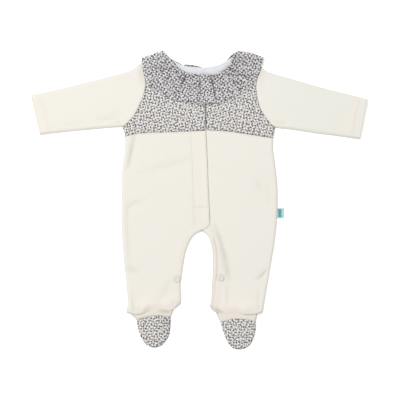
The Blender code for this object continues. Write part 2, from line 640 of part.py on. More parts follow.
def build_foot(side):
    """Instep, toe cap and sole of one foot."""
    foot = FOOT[side]
    columns, cap_rows, instep_rows = 9, 8, 4

    def panel(outer, inner, top, bottom):
        """A grid that faces up on either foot."""
        if foot["mirror"]:
            return coons(inner, outer, top[::-1], bottom[::-1])
        return coons(outer, inner, top, bottom)

    seam = spaced(foot["cap_seam"], columns)
    toe = spaced(foot["toe"], columns)
    cap = panel(spaced(foot["outer_toe"], cap_rows), spaced(foot["inner_toe"], cap_rows), seam, toe)
    cap = trimmed(cap, top=HALF_SEAM)
    add_cloth("toe_cap_" + side, raised(cap, front_height(cap)), WALL, "print")

    outer, inner = np.array(foot["outer_ankle"], float), np.array(foot["inner_ankle"], float)
    middle = np.array(foot["hidden"])
    hidden = middle + (seam - seam.mean(axis=0)) * INSTEP_TAPER
    outer_edge = joined(spaced((hidden[0], outer[1]), instep_rows - 1), spaced(outer[1:], 2))
    inner_edge = joined(spaced((hidden[-1], inner[1]), instep_rows - 1), spaced(inner[1:], 2))
    instep = panel(outer_edge, inner_edge, hidden, seam)
    instep = trimmed(instep, bottom=HALF_SEAM)
    to_cap = distance(instep, smooth(foot["cap_seam"]))
    to_seam = distance(instep, SEWN_OUTLINE)
    tuck = INSTEP_TUCK * ease(to_cap, 0, TUCK_LENGTH) * ease(to_seam, 0, SEAM_ROUND)
    add_cloth("instep_" + side, raised(instep, front_height(instep) - tuck), WALL, "jersey")

    heel = spaced((outer[0], inner[0]), columns)
    ankle_rows = 2
    sole_outer = joined(spaced(outer, ankle_rows), spaced(foot["outer_toe"], cap_rows - 3))
    sole_inner = joined(spaced(inner, ankle_rows), spaced(foot["inner_toe"], cap_rows - 3))
    sole = trimmed(panel(sole_outer, sole_inner, heel, toe), top=SEAM)
    add_cloth("sole_" + side, raised(sole, np.full(sole.shape[:-1], BACK_TOP)), WALL, "jersey")


def build_popper(side):
    """Round popper cap with a raised rim, on the leg's inner edge."""
    x, y = POPPER_PLACES[side]
    reach = POPPER_PROBE
    probes = np.array([[x, y], [x - reach, y], [x + reach, y], [x, y - reach], [x, y + reach]])
    height = front_height(probes)
    slope_x = (height[2] - height[1]) / (2 * reach)
    slope_y = (height[4] - height[3]) / (2 * reach)
    seat = max(height[0], height[1:].mean()) + POPPER_SEAT
    points, faces = [], []
    for radius, rise in POPPER_PROFILE[1:]:
        for k in range(POPPER_SEGMENTS):
            angle = 2 * np.pi * k / POPPER_SEGMENTS
            dx, dy = radius * np.cos(angle), radius * np.sin(angle)
            points.append((x + dx, y + dy, seat + rise + slope_x * dx + slope_y * dy))
    rings = len(POPPER_PROFILE) - 1
    for r in range(rings - 1):
        for k in range(POPPER_SEGMENTS):
            n = (k + 1) % POPPER_SEGMENTS
            faces.append((r * POPPER_SEGMENTS + k, (r + 1) * POPPER_SEGMENTS + k,
                          (r + 1) * POPPER_SEGMENTS + n, r * POPPER_SEGMENTS + n))
    top = len(points)
    points.append((x, y, seat + POPPER_PROFILE[0][1]))
    points.append((x, y, seat))
    last = (rings - 1) * POPPER_SEGMENTS
    for k in range(POPPER_SEGMENTS):
        n = (k + 1) % POPPER_SEGMENTS
        faces.append((top, k, n))
        faces.append((top + 1, last + n, last + k))
    add_object("popper_" + side, points, faces, "popper")


def build_label():
    """Plain folded tag caught in the left side seam."""
    x0, x1 = LABEL_X
    y0, y1 = LABEL_Y
    columns, rows = 3, 4
    u = np.linspace(0, 1, columns + 1)[None, :]
    v = np.linspace(0, 1, rows + 1)[:, None]
    grid = np.stack(np.broadcast_arrays(x0 + (x1 - x0) * u, y0 + (y1 - y0) * v), axis=-1)
    height = np.full(grid.shape[:-1], LABEL_THICKNESS)
    add_cloth("side_label", raised(grid, height), LABEL_THICKNESS, "label")


def clear_scene():
    for old in list(bpy.data.objects):
        bpy.data.objects.remove(old, do_unlink=True)


def main():
    clear_scene()
    build_back()
    build_underlap()
    build_facing()
    for side in ("right", "left"):
        build_front(side)
        build_yoke(side)
        build_sleeve(side)
        build_foot(side)
        build_popper(side)
    build_ruffle()
    build_label()


main()
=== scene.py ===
"""Looks of a footed baby sleepsuit of cream jersey, laid flat on its back panel.

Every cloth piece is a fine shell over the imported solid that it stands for. Its plan comes from
the same outlines, and its height has the creases, seams and hems that the cloth shows. Sizes and
tables are in millimetres. The wearer's right is at -X, the neck at +Y.
"""
import math

import bpy
import numpy as np
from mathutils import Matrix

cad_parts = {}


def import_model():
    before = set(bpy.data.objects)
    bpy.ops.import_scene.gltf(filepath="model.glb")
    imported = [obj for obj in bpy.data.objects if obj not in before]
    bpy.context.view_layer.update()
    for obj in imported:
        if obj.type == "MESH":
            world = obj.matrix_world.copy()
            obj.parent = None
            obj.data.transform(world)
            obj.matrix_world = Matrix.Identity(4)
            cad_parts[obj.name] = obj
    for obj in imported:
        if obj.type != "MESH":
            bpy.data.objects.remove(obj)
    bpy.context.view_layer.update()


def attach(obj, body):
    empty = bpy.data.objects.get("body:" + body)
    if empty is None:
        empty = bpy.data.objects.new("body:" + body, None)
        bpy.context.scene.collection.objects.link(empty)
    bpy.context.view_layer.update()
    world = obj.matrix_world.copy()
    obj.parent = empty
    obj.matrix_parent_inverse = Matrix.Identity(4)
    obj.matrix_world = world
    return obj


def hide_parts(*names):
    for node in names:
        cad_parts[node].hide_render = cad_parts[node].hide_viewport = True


MM = 0.001
MIDDLE = (-0.05, -0.5, 0)     # of the outlines below; the origin is under it
SIDES = ("right", "left")     # the wearer's

# Cloth
CLOTH = 0.85
THIN_CLOTH = 0.7
SOLE_CLOTH = 0.8
RIBBON = 0.34
SEAM = 0.3
HALF_SEAM = SEAM / 2
FINE = 1.3                    # spacing of the points of a panel
COARSE = 2.2                  # and of the back
CURVE_STEPS = 10              # from one point of an outline to the next

# Rough sizes of the panels, which say how many points they get
TORSO_LENGTH = 152
LEG_LENGTH = 130
SHORT_LENGTH = 16             # of the crotch corner, the ankle and the end of the yoke's side
FRONT_WIDTH = 122
ARMHOLE_LENGTH = 118
NECK_LENGTH = 60
YOKE_WIDTH = 112
BACK_LENGTH = 160
HALF_BACK = 128
SHOULDER_SHARE = 0.26         # of that
SLEEVE_LENGTH = 165
SLEEVE_WIDTH = 90
UNDERLAP_LENGTH = 230
FACING_LENGTH = 122
FACING_WIDTH = 24
FOOT_WIDTH = 60
CAP_LENGTH = 50
INSTEP_LENGTH = 26

# Heights of the layers, all at their upper face
BACK_TOP = 0.9
BACK_LIFT = 1.3               # the back lies on the back of the ruffle near the neck
BACK_LIFT_Y = (138.0, 152.0)
BACK_LIFT_X = (96.0, 120.0)
BACK_MIDDLE = (0.0, 20.0)     # its edge is drawn in a little towards this
FACING_TOP = 2.4              # above the surface that the back lies on
EDGE_TOP = 2.5
FRONT_TOP = 5.2
SEAM_ROUND = 4.5
TUCK_ROUND = 10.0
ROLLED_TOP = 1.45             # the front rolls down to this at the very edge
ROLLED_WIDTH = 1.8
EDGE_ROUND = 1.2              # radius of a turned edge, and of the back's and the soles' below
BACK_ROUND = 1.6
SOLE_ROUND = 1.5
CREASE_FADE = (1.0, 7.0)
CREASE_END = 0.55

# Sleeve
FOLD_MIDDLE = 1.35
SLEEVE_FOLD_ROUND = 5.0
FOLD_CLEARANCE = 0.9
HEM_DEPTH = 18.0
HEM_RISE = 0.45
HEM_STEP = 2.0
HEM_STITCHES = (15.8, 13.4)   # both rows, from the cuff
SLEEVE_RIMS = {"right": (0.26, 0.26), "left": (0.16, 0.10)}   # painted shade at its fold and at its cuff

# Centre front
LAP_RISE = 0.75
LAP_WIDTH = 12.0
LAP_END_Y = (-46.0, -30.0)
LAP_EDGE = 0.5                # the right front's edge turns down by this
LAP_TUCK = (0.8, 2.6)         # the left front dips at that edge: depth and half width
DOUBLED_RISE = 0.22           # where a front lies double
DOUBLED_LEG = {"right": 17.5, "left": 13.0}     # width of that along the inner leg
PLACKET_WIDTH = 26.0
PLACKET_END_Y = -11.5
PLACKET_STITCHES = (2.2, 24.8)                  # from the edge of the right front
PLACKET_TOP_Y = 112.5
YOKE_STITCHES = 2.4           # below its seam
FACING_STITCHES = 2.3         # below its upper edge
UNDERLAP_DEPTH = 1.45         # below the front's upper face
UNDERLAP_BEYOND = 5.0
UNDERLAP_TOP_Y = 196.0
UNDERLAP_END_Y = -34.0
LEG_STITCHES = {"right": (-6.4, -166), "left": (6.4, -170)}   # from the inner edge, down to this y

# Blouse of the leg over the instep
ROLL_RISE = 2.3
ROLL_FADE = (4.0, 26.0)
CURL_DROP = 1.5
CURL_LENGTH = 5.0
INSTEP_TUCK = 0.9
TUCK_LENGTH = 12.0
FLUSH_LENGTH = 12.0
FLUSH_STEP = 0.06
INSTEP_TAPER = (0.62, 0.3)
INSTEP_SHADE = {"right": 0.25, "left": 0.21}

# Ruffle
RUFFLE_WAVES_FRONT = 9
RUFFLE_WAVE_INNER = 0.5
RUFFLE_WAVE_OUTER = 0.8
RUFFLE_WAVE_DRIFT = 1.3
RUFFLE_CALM_LAP = (0.09, 0.2)
RUFFLE_CALM_SHOULDER = 0.1
RUFFLE_LAP_RISE = 1.6
RUFFLE_LAP_FADE = (0.13, 0.24)
RUFFLE_BASE = 1.3             # above the front that it lies on
RUFFLE_DROP = 0.4             # of its pleats, down to that front
RUFFLE_LENGTH = 170           # on one front
RUFFLE_WIDTH = 48
RUFFLE_ROWS = {"front": 230, "back": 190, "across": 44}
FOLD_ANGLES = (80, 65, 50, 35, 20, 5, -10, -25, -40, -55, -70, -80, -90)

# Stitches
STITCH_LENGTH = 2.4
STITCH_GAP = 0.7
STITCH_RADIUS = 0.24
STITCH_SEGMENTS = 6
STITCH_PROFILE = ((-0.5, 0.35), (-0.36, 0.85), (0, 1), (0.36, 0.85), (0.5, 0.35))   # along, radius

# Print
LEAF_CELL = 4.3
LEAF_LENGTH = 2.45
BLOSSOM_CELL = 5.0
BLOSSOM_RADIUS = 1.3
SCATTER = 0.43                # of the motifs, off an even grid
PRINTS = {                    # ground, dark leaf, pale leaf, blossom, its eye; half width of a leaf
    "yoke": ((0.640, 0.618, 0.602), (0.048, 0.043, 0.046), (0.104, 0.088, 0.086), (0.99, 0.98, 0.96),
             (0.50, 0.27, 0.27), 1.38),
    # the ruffle's copy has a darker, bluer ground and wider leaves: partly painted shade of its gathers,
    # partly a denser print
    "ruffle": ((0.545, 0.533, 0.536), (0.034, 0.031, 0.037), (0.082, 0.070, 0.075), (0.96, 0.95, 0.96),
               (0.42, 0.25, 0.27), 1.48),
}

# Poppers and tag
POPPER_PLACES = {"right": (-38.5, -130.5), "left": (34.5, -128.5)}
POPPER_PROFILE = (            # radius and height above the cloth, from the middle outwards
    (0, 0.42), (0.9, 0.44), (1.7, 0.46), (2.05, 0.55), (2.3, 0.85), (2.6, 1.08), (3.1, 1.24), (3.7, 1.3),
    (4.3, 1.24), (4.8, 1.02), (5.1, 0.7), (5.2, 0.35), (5.15, 0),
)
POPPER_SEGMENTS = 40
POPPER_PROBE = 3.6
POPPER_SEAT = 0.45
LABEL_X = (127.4, 138.8)
LABEL_Y = (-13.5, -30.0)
LABEL_STEPS = (26, 16)        # along the ribbon and across it
LABEL_OUT = 0.46              # share of the ribbon on its way out, and in its fold
LABEL_FOLD = 0.08
LABEL_MIDDLE = 0.66           # height, and how far each layer is from it
LABEL_HALF = 0.44
LABEL_BLOCK = (4.6, 3.1, 7.3)     # its dark block: distance from the seam, half width, half length

# Outlines in plan, (x, y), from the neck towards the feet or from the body to the cuff
SHOULDER = {
    "right": ((-93, 228.5), (-75, 235), (-57.5, 240.5)),
    "left": ((99.5, 222), (80, 231.5), (58.5, 238.5)),
}
NECK_FRONT = {
    "right": ((-57.5, 240.5), (-45, 227.5), (-28, 213.5), (-14, 207.7), (-2, 206), (9.4, 205.6)),
    "left": ((58.5, 238.5), (54, 232), (49.5, 222), (39, 212.5), (24.5, 207.3), (9.7, 205.6)),
}
NECK_BACK = ((-57.5, 240.5), (-44.5, 228.4), (-30, 222), (-12, 219.2), (8, 217.9), (26, 220.2), (37, 224.6),
             (47, 230.5), (58.5, 238.5))
ARMHOLE = {
    "right": ((-93, 228.5), (-90, 203), (-91.3, 181), (-97.3, 162.5), (-107.5, 142), (-118.7, 128.6),
              (-127.5, 120.3)),
    "left": ((99.5, 222), (95, 204), (93, 183), (98.5, 154), (108.5, 136.5), (117, 126), (124, 119.2)),
}
STUB = {"right": ((-127.5, 120.3), (-123.7, 104.8)), "left": ((124, 119.2), (121.1, 102.2))}
YOKE_SEAM = {
    "right": ((-123.7, 104.8), (-105, 109.1), (-78.5, 111), (-42.5, 112.1), (-7, 113.9), (9.4, 114.6)),
    "left": ((9.7, 115.4), (47, 112.8), (82.5, 107.8), (101, 104.9), (121.1, 102.2)),
}
CENTRE_YOKE = ((9.4, 205.6), (8.6, 160), (9.4, 114.5))
CENTRE_FRONT = ((9.4, 114.5), (11.6, 70), (13.4, 20), (15.2, -15), (16.4, -42))
CORNER_FRONT = ((16.4, -42), (3, -51.2))
SIDE = {
    "right": ((-123.7, 104.8), (-124.3, 92), (-125, 76), (-129.1, 42), (-129.5, 5), (-129.1, -50),
              (-125.7, -98), (-121.6, -138), (-119.6, -166), (-121.5, -185.5)),
    "left": ((121.1, 102.2), (120.9, 84), (123.3, 66), (127.5, 28), (128.2, 0), (127.6, -25), (123.8, -66),
             (115.7, -115), (107.9, -161), (103.7, -185)),
}
INNER = {
    "right": ((3, -51.2), (-9.6, -58.6), (-18.7, -72.8), (-25.1, -93), (-29.6, -122), (-32.2, -143),
              (-31, -158), (-31.6, -170.3)),
    "left": ((3, -51.2), (12.4, -58.7), (18.1, -72), (21.4, -92), (21.2, -118), (19.5, -140), (19, -158),
             (16.5, -175.5)),
}
CROTCH_SIDE_Y = (-44, -58)
ANKLE = {
    "right": ((-121.5, -185.5), (-108, -188.6), (-95.5, -187), (-82, -182), (-66, -181.4), (-52, -183.2),
              (-43, -179), (-31.6, -170.3)),
    "left": ((16.5, -175.5), (24, -184), (43, -187), (60, -185.6), (74, -188.5), (92, -188), (103.7, -185)),
}
FOOT = {
    "right": {
        "outer_ankle": ((-113, -184.2), (-112.8, -190), (-105, -197.7)),
        "inner_ankle": ((-43, -172.2), (-44.5, -184), (-48.3, -193)),
        "outer_toe": ((-105, -197.7), (-102.3, -212), (-97.9, -226.4), (-90.5, -237.4)),
        "inner_toe": ((-48.3, -193), (-49, -210), (-51.4, -224.6), (-58.5, -235.2)),
        "toe": ((-90.5, -237.4), (-82.7, -242.5), (-72.5, -243.5), (-63.9, -240.2), (-58.5, -235.2)),
        "cap_seam": ((-105, -197.7), (-84, -191.9), (-67, -190.6), (-48.3, -193)),
        "hidden": (-80, -166),
    },
    "left": {
        "outer_ankle": ((95.5, -184.1), (94.4, -191), (92.5, -200)),
        "inner_ankle": ((24, -176.3), (27.5, -190), (33.6, -201.5)),
        "outer_toe": ((92.5, -200), (92.2, -213), (89, -226.6), (83.7, -238.1)),
        "inner_toe": ((33.6, -201.5), (36.8, -213), (41.5, -226), (47.5, -238)),
        "toe": ((83.7, -238.1), (75.9, -244.5), (66, -247), (55.2, -245.1), (47.5, -238)),
        "cap_seam": ((92.5, -200), (75, -197.2), (56, -196.4), (33.6, -201.5)),
        "hidden": (60, -172),
    },
}
SLEEVE_UPPER = {
    "right": ((-93, 228.5), (-99, 225.3), (-112, 215.4), (-125.5, 210.6), (-152, 203.2), (-191.5, 193.2),
              (-231, 183.5), (-279.2, 173.3)),
    "left": ((99.5, 222), (106.5, 215.1), (117, 210), (142, 202.8), (181.5, 191.2), (221, 180.6),
             (250, 173.6), (276.6, 166.5)),
}
SLEEVE_LOWER = {
    "right": ((-127.5, 120.3), (-138, 120), (-161.5, 118.1), (-200, 114.7), (-240, 110.5), (-263.9, 107.4)),
    "left": ((124, 119.2), (134, 117.9), (143, 117.3), (161.5, 114.7), (190, 110.2), (221, 106.3),
             (245, 102.9), (263.6, 100.2)),
}
FACING = ((-47, 231.6), (-44, 229.7), (-31, 223.2), (-22, 220.9), (-12, 219.6), (0, 218.8), (8, 218.8),
          (26, 221.5), (37, 225.9), (47, 231.8), (52, 236))
FACING_LOWER = ((-50, 224), (-34, 209), (-12, 202.5), (8, 201.5), (28, 203.5), (44, 212), (55, 227))
RUFFLE_RIGHT = (              # neck x, neck y, free x, free y, from the lap to the shoulder
    (16.8, 206.3, 26.6, 159.8), (6, 206.9, 6.5, 158.8), (-5, 207.8, -16.5, 160.9), (-16.5, 209, -40, 164.6),
    (-28, 213, -56.5, 169.3), (-38, 221.6, -69, 178.5), (-45.8, 230.2, -82.5, 186.6),
    (-53, 237, -90.5, 199), (-58.3, 243.3, -95, 218),
)
RUFFLE_BACK = (               # from the right shoulder to the left one, under the back
    (-54, 238.3, -87.5, 229.6), (-50.5, 235, -85.5, 214), (-44, 230.9, -79, 190),
    (-31, 224.4, -52.5, 167.3), (-28.6, 222.2, -48, 165), (-26.2, 222.3, -44, 163.3),
    (-24.3, 223.9, -40.5, 162.1), (-15, 222.9, -26, 158.6), (-6, 221.7, -12, 156.6), (1, 219.9, -1, 155.7),
    (5, 218.5, 4.5, 155.7), (8.5, 218.2, 9, 155.7), (26, 219.8, 34, 157.5), (36.5, 224.6, 58, 166),
    (45, 231, 82, 190), (48.3, 235.3, 89, 214), (51.8, 239.2, 95, 229.5),
)
RUFFLE_LEFT = (               # from the shoulder to the centre front
    (53.6, 240.4, 102.6, 226), (52.4, 233, 99.4, 213), (50.3, 224.9, 93, 200), (43.4, 218.3, 84, 186.8),
    (36, 212.2, 73, 176.3), (27, 208.2, 59, 170.8), (18, 206.3, 42, 163.3), (9.5, 205.9, 19.5, 158.2),
)
RUFFLE_FREE_CORNER = (16.8, 207.0, 9.8 / 47.2)  # x, y and slope of the right part's edge at the lap
SHOULDER_FOLD_RIGHT = ((-60, 246.8), (-72, 243.2), (-84, 238.7), (-96.3, 234.8))
SHOULDER_FOLD_LEFT = ((54.5, 242.2), (63, 245.7), (82.5, 243.3), (104.3, 235.8))

CREASES = (                   # x0, y0, x1, y1, half width, depth: soft ones, as in the solids
    (-108, 106, -118.5, 52, 5, 1.2), (-96, 45, -16, 67, 8, 0.8), (-119, -13, -92, -1, 6.5, 0.8),
    (-119, -112, -100, -116, 6, 0.9), (-116, -184, -80, -180, 5, 1.1), (-70, -176, -62, -158, 6, 0.8),
    (26, -46, 41, -88, 7, 1.2), (41, -88, 48, -128, 7, 1.1), (97, -131, 112, -116, 5, 1.4),
    (94, 30, 104, 12, 7, 0.8), (72, -184, 98, -181, 5, 1.1), (-172, 129, -131, 142, 7, 0.7),
    (-240, 120, -190, 124, 6, 0.7), (122, 131, 146, 128, 6, 0.7), (60, 60, 92, 74, 10, -0.3),
    (-70, -20, -40, -60, 14, -0.4), (60, -20, 84, -70, 14, -0.4),
)
FINE_CREASES = (              # and narrower ones
    (-107.7, 104.8, -117.8, 55.3, 3, 1), (-118.5, -14, -112.5, -5.5, 2.4, 0.4),
    (-112.5, -5.5, -94, -2, 3.6, 0.22), (-94, 43, -18, 66, 4, 0.12), (110, 30, 114, -2, 6, 0.22),
    (-66, -184.3, -47.5, -185.3, 3, 1.3), (-50, -173, -37, -166, 5, 0.3),
    (-110, -168, -108, -184, 2.4, 0.45), (20.5, -176.5, 31, -181, 3.2, 0.45),
    (-4, 156.6, 8, 155.2, 2.2, 0.8), (-119, -113, -104, -118.9, 3.6, 0.55),
    (-112, -150, -110.5, -184, 1.6, 0.45), (95.5, -150, 96.5, -183, 1.8, 0.55),
    (96.5, -130.4, 112.2, -115.5, 1.8, 0.9), (24.8, -41, 29, -52, 1.8, 0.5), (29, -52, 36.3, -74, 2.4, 1),
    (36.3, -74, 41.8, -96, 3.4, 1), (42.3, -96, 48.4, -131, 4.8, 0.9), (44.8, -143, 45.5, -176, 3, 0.48),
    (-51.2, -134.9, -61.7, -158.9, 4.8, 0.42), (24.3, -181.2, 36.6, -185.6, 2.3, 1.7),
    (17, -47, 27, -60, 1.6, 0.35), (-168, 130.5, -132.5, 136.5, 1.8, 0.4),
    (-138, 132, -131, 124, 1.5, 0.55), (-150, 126, -132, 128, 1.6, 0.4), (122, 131, 143, 127.6, 1.5, 0.5),
    (124, 127, 140, 124.2, 1.4, 0.45), (120, 133, 144, 129.6, 2, -0.5), (107.5, 213, 109, 202, 1.4, 0.3),
    (111.5, 208, 112.5, 200, 1.4, 0.25), (95, 26, 103, 15, 2.6, 0.35), (103.5, 216, 101.5, 190, 3.6, 0.45),
    (-98.5, 224, -94.5, 190, 4.5, 0.75), (-94, -184.8, -82, -180, 1.2, 0.6),
    (-0.5, -24, -0.5, -38, 1.5, 0.35), (-7, -11.4, 2, -11.4, 1.4, 0.35), (-8.7, -28, -8.7, -39, 1.6, 0.35),
    (-13.7, -42.6, -9, -46.5, 1.6, 0.45), (-20, -47, -15.5, -53, 1.6, 0.35),
)
RUFFLE_PLEATS = (             # x0, y0, x1, y1, half width, depth
    (-51.5, 202.5, -53.5, 199, 1.7, 1.2), (-53.5, 199, -60, 194, 2, 0.4),
    (-44.5, 194.5, -43, 190, 1.6, 0.6), (-29.2, 208, -34, 198.8, 1.2, 1.7),
    (-23.6, 204, -26.8, 198, 1.1, 1.6), (-26.8, 198, -29.6, 191.6, 1.2, 1.8),
    (-29.5, 189, -34, 182, 1.6, 0.6), (-40, 212, -38.5, 207, 1.8, 0.7),
    (-17.4, 206.5, -17, 201.5, 1.5, 0.8), (-13.5, 192, -14.5, 181, 2.2, 0.4),
    (-0.8, 198.5, 0.2, 186, 1.2, 1.25), (0.2, 186, 1.2, 172, 1.2, 1.3), (-1.5, 170, 2, 161, 3, 0.5),
    (27, 206, 29, 200, 1.7, 0.6), (35, 194, 37, 190, 1.8, 0.5), (41.3, 213, 42.5, 207, 1.8, 0.7),
    (48.3, 211, 49, 206, 1.8, 0.6), (48, 218.5, 55, 214, 2.2, 0.7), (55, 214, 60, 209.5, 2, 0.6),
    (60, 209.5, 72, 206, 2.6, 0.5), (72, 206, 90, 203.5, 3, 0.45), (52, 202, 58, 194.5, 2, 0.7),
    (58, 194.5, 63, 191, 2.2, 0.7), (66, 188, 69, 183, 2.2, 0.6), (-46, 218.5, -52, 216, 2.2, 0.8),
    (-57, 226, -60, 221, 2.2, 0.6), (-60, 215.5, -68, 218.5, 2.5, 0.55),
    (-68, 218.5, -81, 220.5, 2.5, 0.45), (-82, 190, -75, 182.5, 2.2, 0.6), (-41, 180, -39.5, 173, 2.5, 0.6),
    (-57, 174, -53, 168.5, 2.5, 0.6),
)


# ---- Curves in plan

def smooth(points):
    """A smooth open curve through the points, as a fine polyline."""
    p = np.array(points, float)
    p = np.vstack([2 * p[0] - p[1], p, 2 * p[-1] - p[-2]])
    t = np.linspace(0, 1, CURVE_STEPS, endpoint=False)[:, None]
    spans = [
        0.5 * (2 * b + (c - a) * t + (2 * a - 5 * b + 4 * c - d) * t**2 + (3 * b - a - 3 * c + d) * t**3)
        for a, b, c, d in zip(p, p[1:], p[2:], p[3:])
    ]
    return np.vstack(spans + [p[-2:-1]])


def lengths(curve):
    """Length along the polyline from its start to each of its points."""
    steps = np.linalg.norm(np.diff(curve, axis=0), axis=1)
    return np.concatenate([[0], np.cumsum(steps)])


def read(curve, along, at):
    """Points of the curve at these places, where its own points are at the places along."""
    return np.stack([np.interp(at, along, column) for column in curve.T], axis=1)


def spaced(points, count):
    """count + 1 points at equal lengths along the smooth curve through the points."""
    curve = smooth(points)
    along = lengths(curve)
    return read(curve, along, np.linspace(0, along[-1], count + 1))


def cut(curve, y_from, y_to):
    """The stretch of a falling polyline between two heights, which it is cut to."""
    ends = [[np.interp(-h, -curve[:, 1], curve[:, 0]), h] for h in (y_from, y_to)]
    inside = curve[(curve[:, 1] < y_from) & (curve[:, 1] > y_to)]
    return np.vstack([ends[0], inside, ends[1]])


def part_of(points, y_from, y_to, count):
    """count + 1 points of a falling curve between two heights."""
    return spaced(cut(smooth(points), y_from, y_to), count)


def joined(*spans):
    """One side of a panel from spans that each start where the last one ends."""
    return np.vstack([spans[0]] + [span[1:] for span in spans[1:]])


def nearest(points, polyline):
    """Distance in plan from each point to the polyline, and how far along it that is."""
    points, polyline = np.asarray(points, float), np.asarray(polyline, float)
    run, start = np.diff(polyline, axis=0), lengths(polyline)[:-1]
    size = np.linalg.norm(run, axis=1)
    real = size > 1e-6
    a, run, size, start = polyline[:-1][real], run[real], size[real], start[real]
    flat = points.reshape(-1, 1, 2)
    gaps, places = [], []
    for k in range(0, len(flat), 2000):
        off = flat[k:k + 2000] - a
        t = np.clip((off * run).sum(-1) / size**2, 0, 1)
        away = np.linalg.norm(off - t[..., None] * run, axis=-1)
        best = away.argmin(axis=1)
        row = np.arange(len(best))
        gaps.append(away[row, best])
        places.append(start[best] + t[row, best] * size[best])
    shape = points.shape[:-1]
    return np.concatenate(gaps).reshape(shape), np.concatenate(places).reshape(shape)


def distance(points, polyline):
    """Distance in plan from each point to the polyline."""
    return nearest(points, polyline)[0]


def ease(value, start, end):
    """0 before start, 1 after end, and a smooth step between them."""
    t = np.clip((np.asarray(value, float) - start) / (end - start), 0, 1)
    return t * t * (3 - 2 * t)


def fade(value, start, end):
    """1 before start, 0 after end, and a smooth step between them."""
    return 1 - ease(value, start, end)


def bell(value, half_width):
    """1 at 0, falling to almost nothing at twice the half width."""
    return np.exp(-(value / half_width) ** 2)


def quarter_round(share):
    """Height of a quarter circle, from 0 to 1, at this share of its radius."""
    return np.sqrt(1 - (1 - np.clip(share, 0, 1)) ** 2)


def rolled(gap, radius):
    """How far a rolled edge has turned down, from 1 at its very edge to 0 at this radius from it."""
    return 1 - quarter_round(gap / radius)


def waves(points, length, seed):
    """Smooth seeded unevenness between about -1 and 1, with bumps of about this length."""
    chance = np.random.default_rng(seed)
    total = np.zeros(points.shape[:-1])
    for turn, phase, scale in zip(chance.uniform(0, np.pi, 9), chance.uniform(0, 6.28, 9),
                                  chance.uniform(0.6, 1.6, 9)):
        reach = points[..., 0] * np.cos(turn) + points[..., 1] * np.sin(turn)
        total += np.sin(2 * np.pi * reach / (length * scale) + phase)
    return total / 4


def beat(along, length, drift, over):
    """Uneven ripple along a seam."""
    return np.sin(along / length + drift * np.sin(along / over))


# ---- Heights, in millimetres, and painted shade: how dark the cloth is painted where it lies deep, in a crease, seam or fold

def foot_outline(side):
    """Polyline round what shows of a foot, from its outer ankle to its inner one."""
    foot = FOOT[side]
    spans = [foot["outer_ankle"][1:], foot["outer_toe"], foot["toe"], foot["inner_toe"][::-1],
             foot["inner_ankle"][:0:-1]]
    return np.vstack([smooth(span) for span in spans])


SEWN_OUTLINE = np.vstack([
    smooth(SLEEVE_LOWER["right"])[::-1], STUB["right"], smooth(SIDE["right"]), foot_outline("right"),
    smooth(INNER["right"])[::-1], smooth(INNER["left"]), foot_outline("left")[::-1],
    smooth(SIDE["left"])[::-1], STUB["left"][::-1], smooth(SLEEVE_LOWER["left"]),
])
OUTER_EDGES = (               # line and how much painted shade its rim gets
    (smooth(SIDE["right"]), 0.42), (smooth(SIDE["left"]), 0.20),
    (smooth(INNER["right"]), 0.30), (smooth(INNER["left"]), 0.42),
    (smooth(SLEEVE_LOWER["right"]), 0.30), (smooth(SLEEVE_LOWER["left"]), 0.42),
    (foot_outline("right"), 0.30), (foot_outline("left"), 0.30),
)
SEAMS = [                     # line, depth of its furrow, half width, pucker
    (smooth(lines[side]), *furrow)
    for lines, *furrow in (
        (YOKE_SEAM, 0.55, 1.5, 0.10),
        (ARMHOLE, 0.55, 1.7, 0.12),
        ({side: foot["cap_seam"] for side, foot in FOOT.items()}, 0.50, 1.4, 0.10),
    )
    for side in SIDES
]
CENTRE_EDGE = smooth(joined(np.array(CENTRE_YOKE), np.array(CENTRE_FRONT)))


def back_lift(points):
    """How far the back is raised by the ruffle under it."""
    return BACK_LIFT * ease(points[..., 1], *BACK_LIFT_Y) * fade(np.abs(points[..., 0]), *BACK_LIFT_X)


def dents(points, table, spread=1.0):
    """Total depth at each point of the creases in a table."""
    total = np.zeros(points.shape[:-1])
    for x0, y0, x1, y1, half_width, depth in table:
        start, run = np.array([x0, y0]), np.array([x1 - x0, y1 - y0])
        t = np.clip(((points - start) @ run) / (run @ run), 0, 1)
        away = np.linalg.norm(points - start - t[..., None] * run, axis=-1)
        total += depth * bell(away / half_width, spread) * (CREASE_END + (1 - CREASE_END) * np.sin(np.pi * t))
    return total


def plain_height(points, to_seam=None):
    """Upper face of the front layer without its small relief."""
    to_seam = distance(points, SEWN_OUTLINE) if to_seam is None else to_seam
    edge = EDGE_TOP + back_lift(points)
    share = 1 - (1 - np.clip(to_seam / SEAM_ROUND, 0, 1)) ** 2
    return edge + (FRONT_TOP - edge) * share - dents(points, CREASES) * ease(to_seam, *CREASE_FADE)


